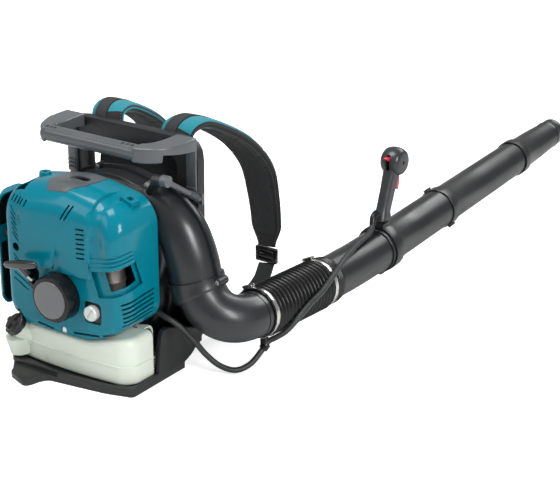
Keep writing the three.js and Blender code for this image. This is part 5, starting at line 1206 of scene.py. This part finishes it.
def strap_patch(band, share_from, share_to, x_from, x_to, lift, face=-1, thick=0.0012):
    """A thin layer that lies on a face of the pad. x runs from -1 to 1 across it."""
    xs = [x_from + (x_to - x_from) * k / 12 for k in range(13)]
    rings = []
    for i in range(PATCH_STEPS + 1):
        share = share_from + (share_to - share_from) * i / PATCH_STEPS
        centre, across, out = band.at(share)
        half, deep = strap_size(share)
        rings.append([centre + across * x * half + out * face * (deep * pillow(x) + lift - less)
                      for row, less in ((xs, 0.0), (xs[::-1], thick)) for x in row])
    return measured(rings)


def stitch_rows_tree():
    """Short threads set end to end along each course, turned the way it runs."""
    tree, given = shape_tree("stitch_rows", {"Pitch": 0.0061, "Stitch": 0.0036, "Thread Radius": 0.00045})
    rows = spaced_course(tree, given["Geometry"], given["Pitch"])
    stitch = cylinder_node(tree, 5, given["Thread Radius"], given["Stitch"])
    tangent = tree.nodes.new("GeometryNodeInputTangent").outputs[0]
    turn = add_node(tree, "FunctionNodeAlignRotationToVector", {"Vector": tangent}, axis="Z")
    return end_tree(tree, given, add_node(tree, "GeometryNodeInstanceOnPoints", {
        "Points": rows, "Instance": stitch, "Rotation": turn}))


stitch_rows = stitch_rows_tree()
for side_name, sign in (("right", 1), ("left", -1)):
    node = f"shoulder_strap_{side_name}"
    band = Band(strap_route, sign)
    rings = []
    for share in (i / 180 for i in range(181)):
        centre, across, out = band.at(share)
        half, deep = strap_size(share)
        seam = sum(exp(-((share - place) * band.steps[-1] / SEAM_WIDTH)**2) for place in SEAMS)
        ring = []
        for a in turns(48):
            x = copysign(abs(cos(a))**0.5, cos(a))
            z = copysign(pillow(x), sin(a)) * deep * (1 - SEAM_DEPTH * min(1, seam))
            ring.append(centre + across * x * half + out * z)
        rings.append(ring)
    as_piece(f"{node}_padded", measured(rings), strap_fabric, node, 60)
    lining = cloth(f"mesh_{side_name}", (0.03, 0.031, 0.033), 0.95, 900, 900, 0.8, 0.9)
    for name, mesh, material in (
            ("near_band", strap_patch(band, 0.05, 0.43, 0.1, 0.95, 0.0009), strap_teal),
            ("far_band", strap_patch(band, 0.02, 0.19, -0.97, -0.7, 0.0009), strap_teal),
            ("inner_panel", strap_patch(band, 0.02, 0.16, -0.9, 0.9, 0.0008, 1), strap_teal),
            ("strip", strap_patch(band, 0.0, 0.56, -0.66, 0.04, 0.0026, thick=0.002), webbing),
            ("lower_strip", strap_patch(band, 0.6, 0.99, -0.42, 0.42, 0.0024, thick=0.002), webbing),
            ("lining", strap_patch(band, 0.2, 0.94, -0.72, 0.72, 0.0008, 1), lining)):
        as_piece(f"{node}_{name}", mesh, material, stands_for=node, sharp=50)
    rims, rows = [], []
    stations = [(share, *band.at(share), *strap_size(share)) for share in (i / 140 for i in range(141))]
    for edge in (-1, 1):
        rims.append([centre + across * edge * half * 0.995 for _, centre, across, _, half, _ in stations])
        for face in (-1, 1):
            rows.append([
                centre + across * edge * EDGE_SEAM * half + out * face * (deep * pillow(EDGE_SEAM) + 0.0004)
                for share, centre, across, out, half, deep in stations if 0.02 < share < 0.98])
    rim_colour = strap_teal if sign < 0 else webbing
    piping = grown(sheathing, courses(rims), rim_colour, {
        "Radius": 0.0019, "Ridge Height": 0.0, "Sides": 10, "Step": 0.004})
    as_piece(f"{node}_piping", piping, rim_colour, stands_for=node, sharp=60)
    as_piece(f"{node}_stitching", grown(stitch_rows, courses(rows), thread), thread, stands_for=node, sharp=60)
    web_band = Band(web_route, sign)
    rings = []
    for i in range(81):
        centre, across, out = web_band.at(i / 80)
        rings.append([centre + across * x * 0.001 + out * z * 0.001
                      for x, z in rounded_ring(-20, 20, -1.5, 1.5, 1.2, 4, 8)])
    as_piece(f"strap_webbing_{side_name}_woven", measured(rings), webbing, f"strap_webbing_{side_name}", 60)
    rounded_edges(f"strap_buckle_{side_name}", gloss_black, 0.0014, 3)

# -------- back pad
# A foam pad covered in black spacer fabric. Its outline is drawn as rings that dome inwards, and grooves
# are pressed into its face in rows and down its middle.
PAD_BACK, PAD_RISE, PAD_MIDDLE = 106.3, 26, 275


def pad_point(x, z, y):
    return mm(x * (1 - 0.12 * ((z - PAD_MIDDLE) / 155)**2), y, z)


pad_rings = []
for i in range(33):
    u = i / 32
    inset = 22 * (1 - cos(u * pi / 2))**1.6 if u > 0 else 2
    outline = rounded_ring(-112 + inset, 112 - inset, 120 + inset, 430 - inset, 36, 12, 16)
    pad_rings.append([pad_point(x, z, PAD_BACK + PAD_RISE * sin(u * pi / 2)) for x, z in outline])
for k in range(1, 25):
    share = 1 - k / 24.5
    ring = []
    for x, z in rounded_ring(-90, 90, 142, 408, 36, 12, 16):
        x, z = x * share, PAD_MIDDLE + (z - PAD_MIDDLE) * share
        groove = sum(exp(-((z - row) / 3.2)**2) for row in range(165, 400, 42)) + exp(-(x / 3.2)**2)
        ring.append(pad_point(x, z, PAD_BACK + PAD_RISE - 7 * min(1.0, groove) * min(1, k / 3)))
    pad_rings.append(ring)
pad_mesh = cloth("pad_mesh", (0.02, 0.021, 0.023), 0.95, 1500, 1500, 0.6, 0.7)
as_piece("back_pad_quilted", measured(pad_rings), pad_mesh, "back_pad", 60)
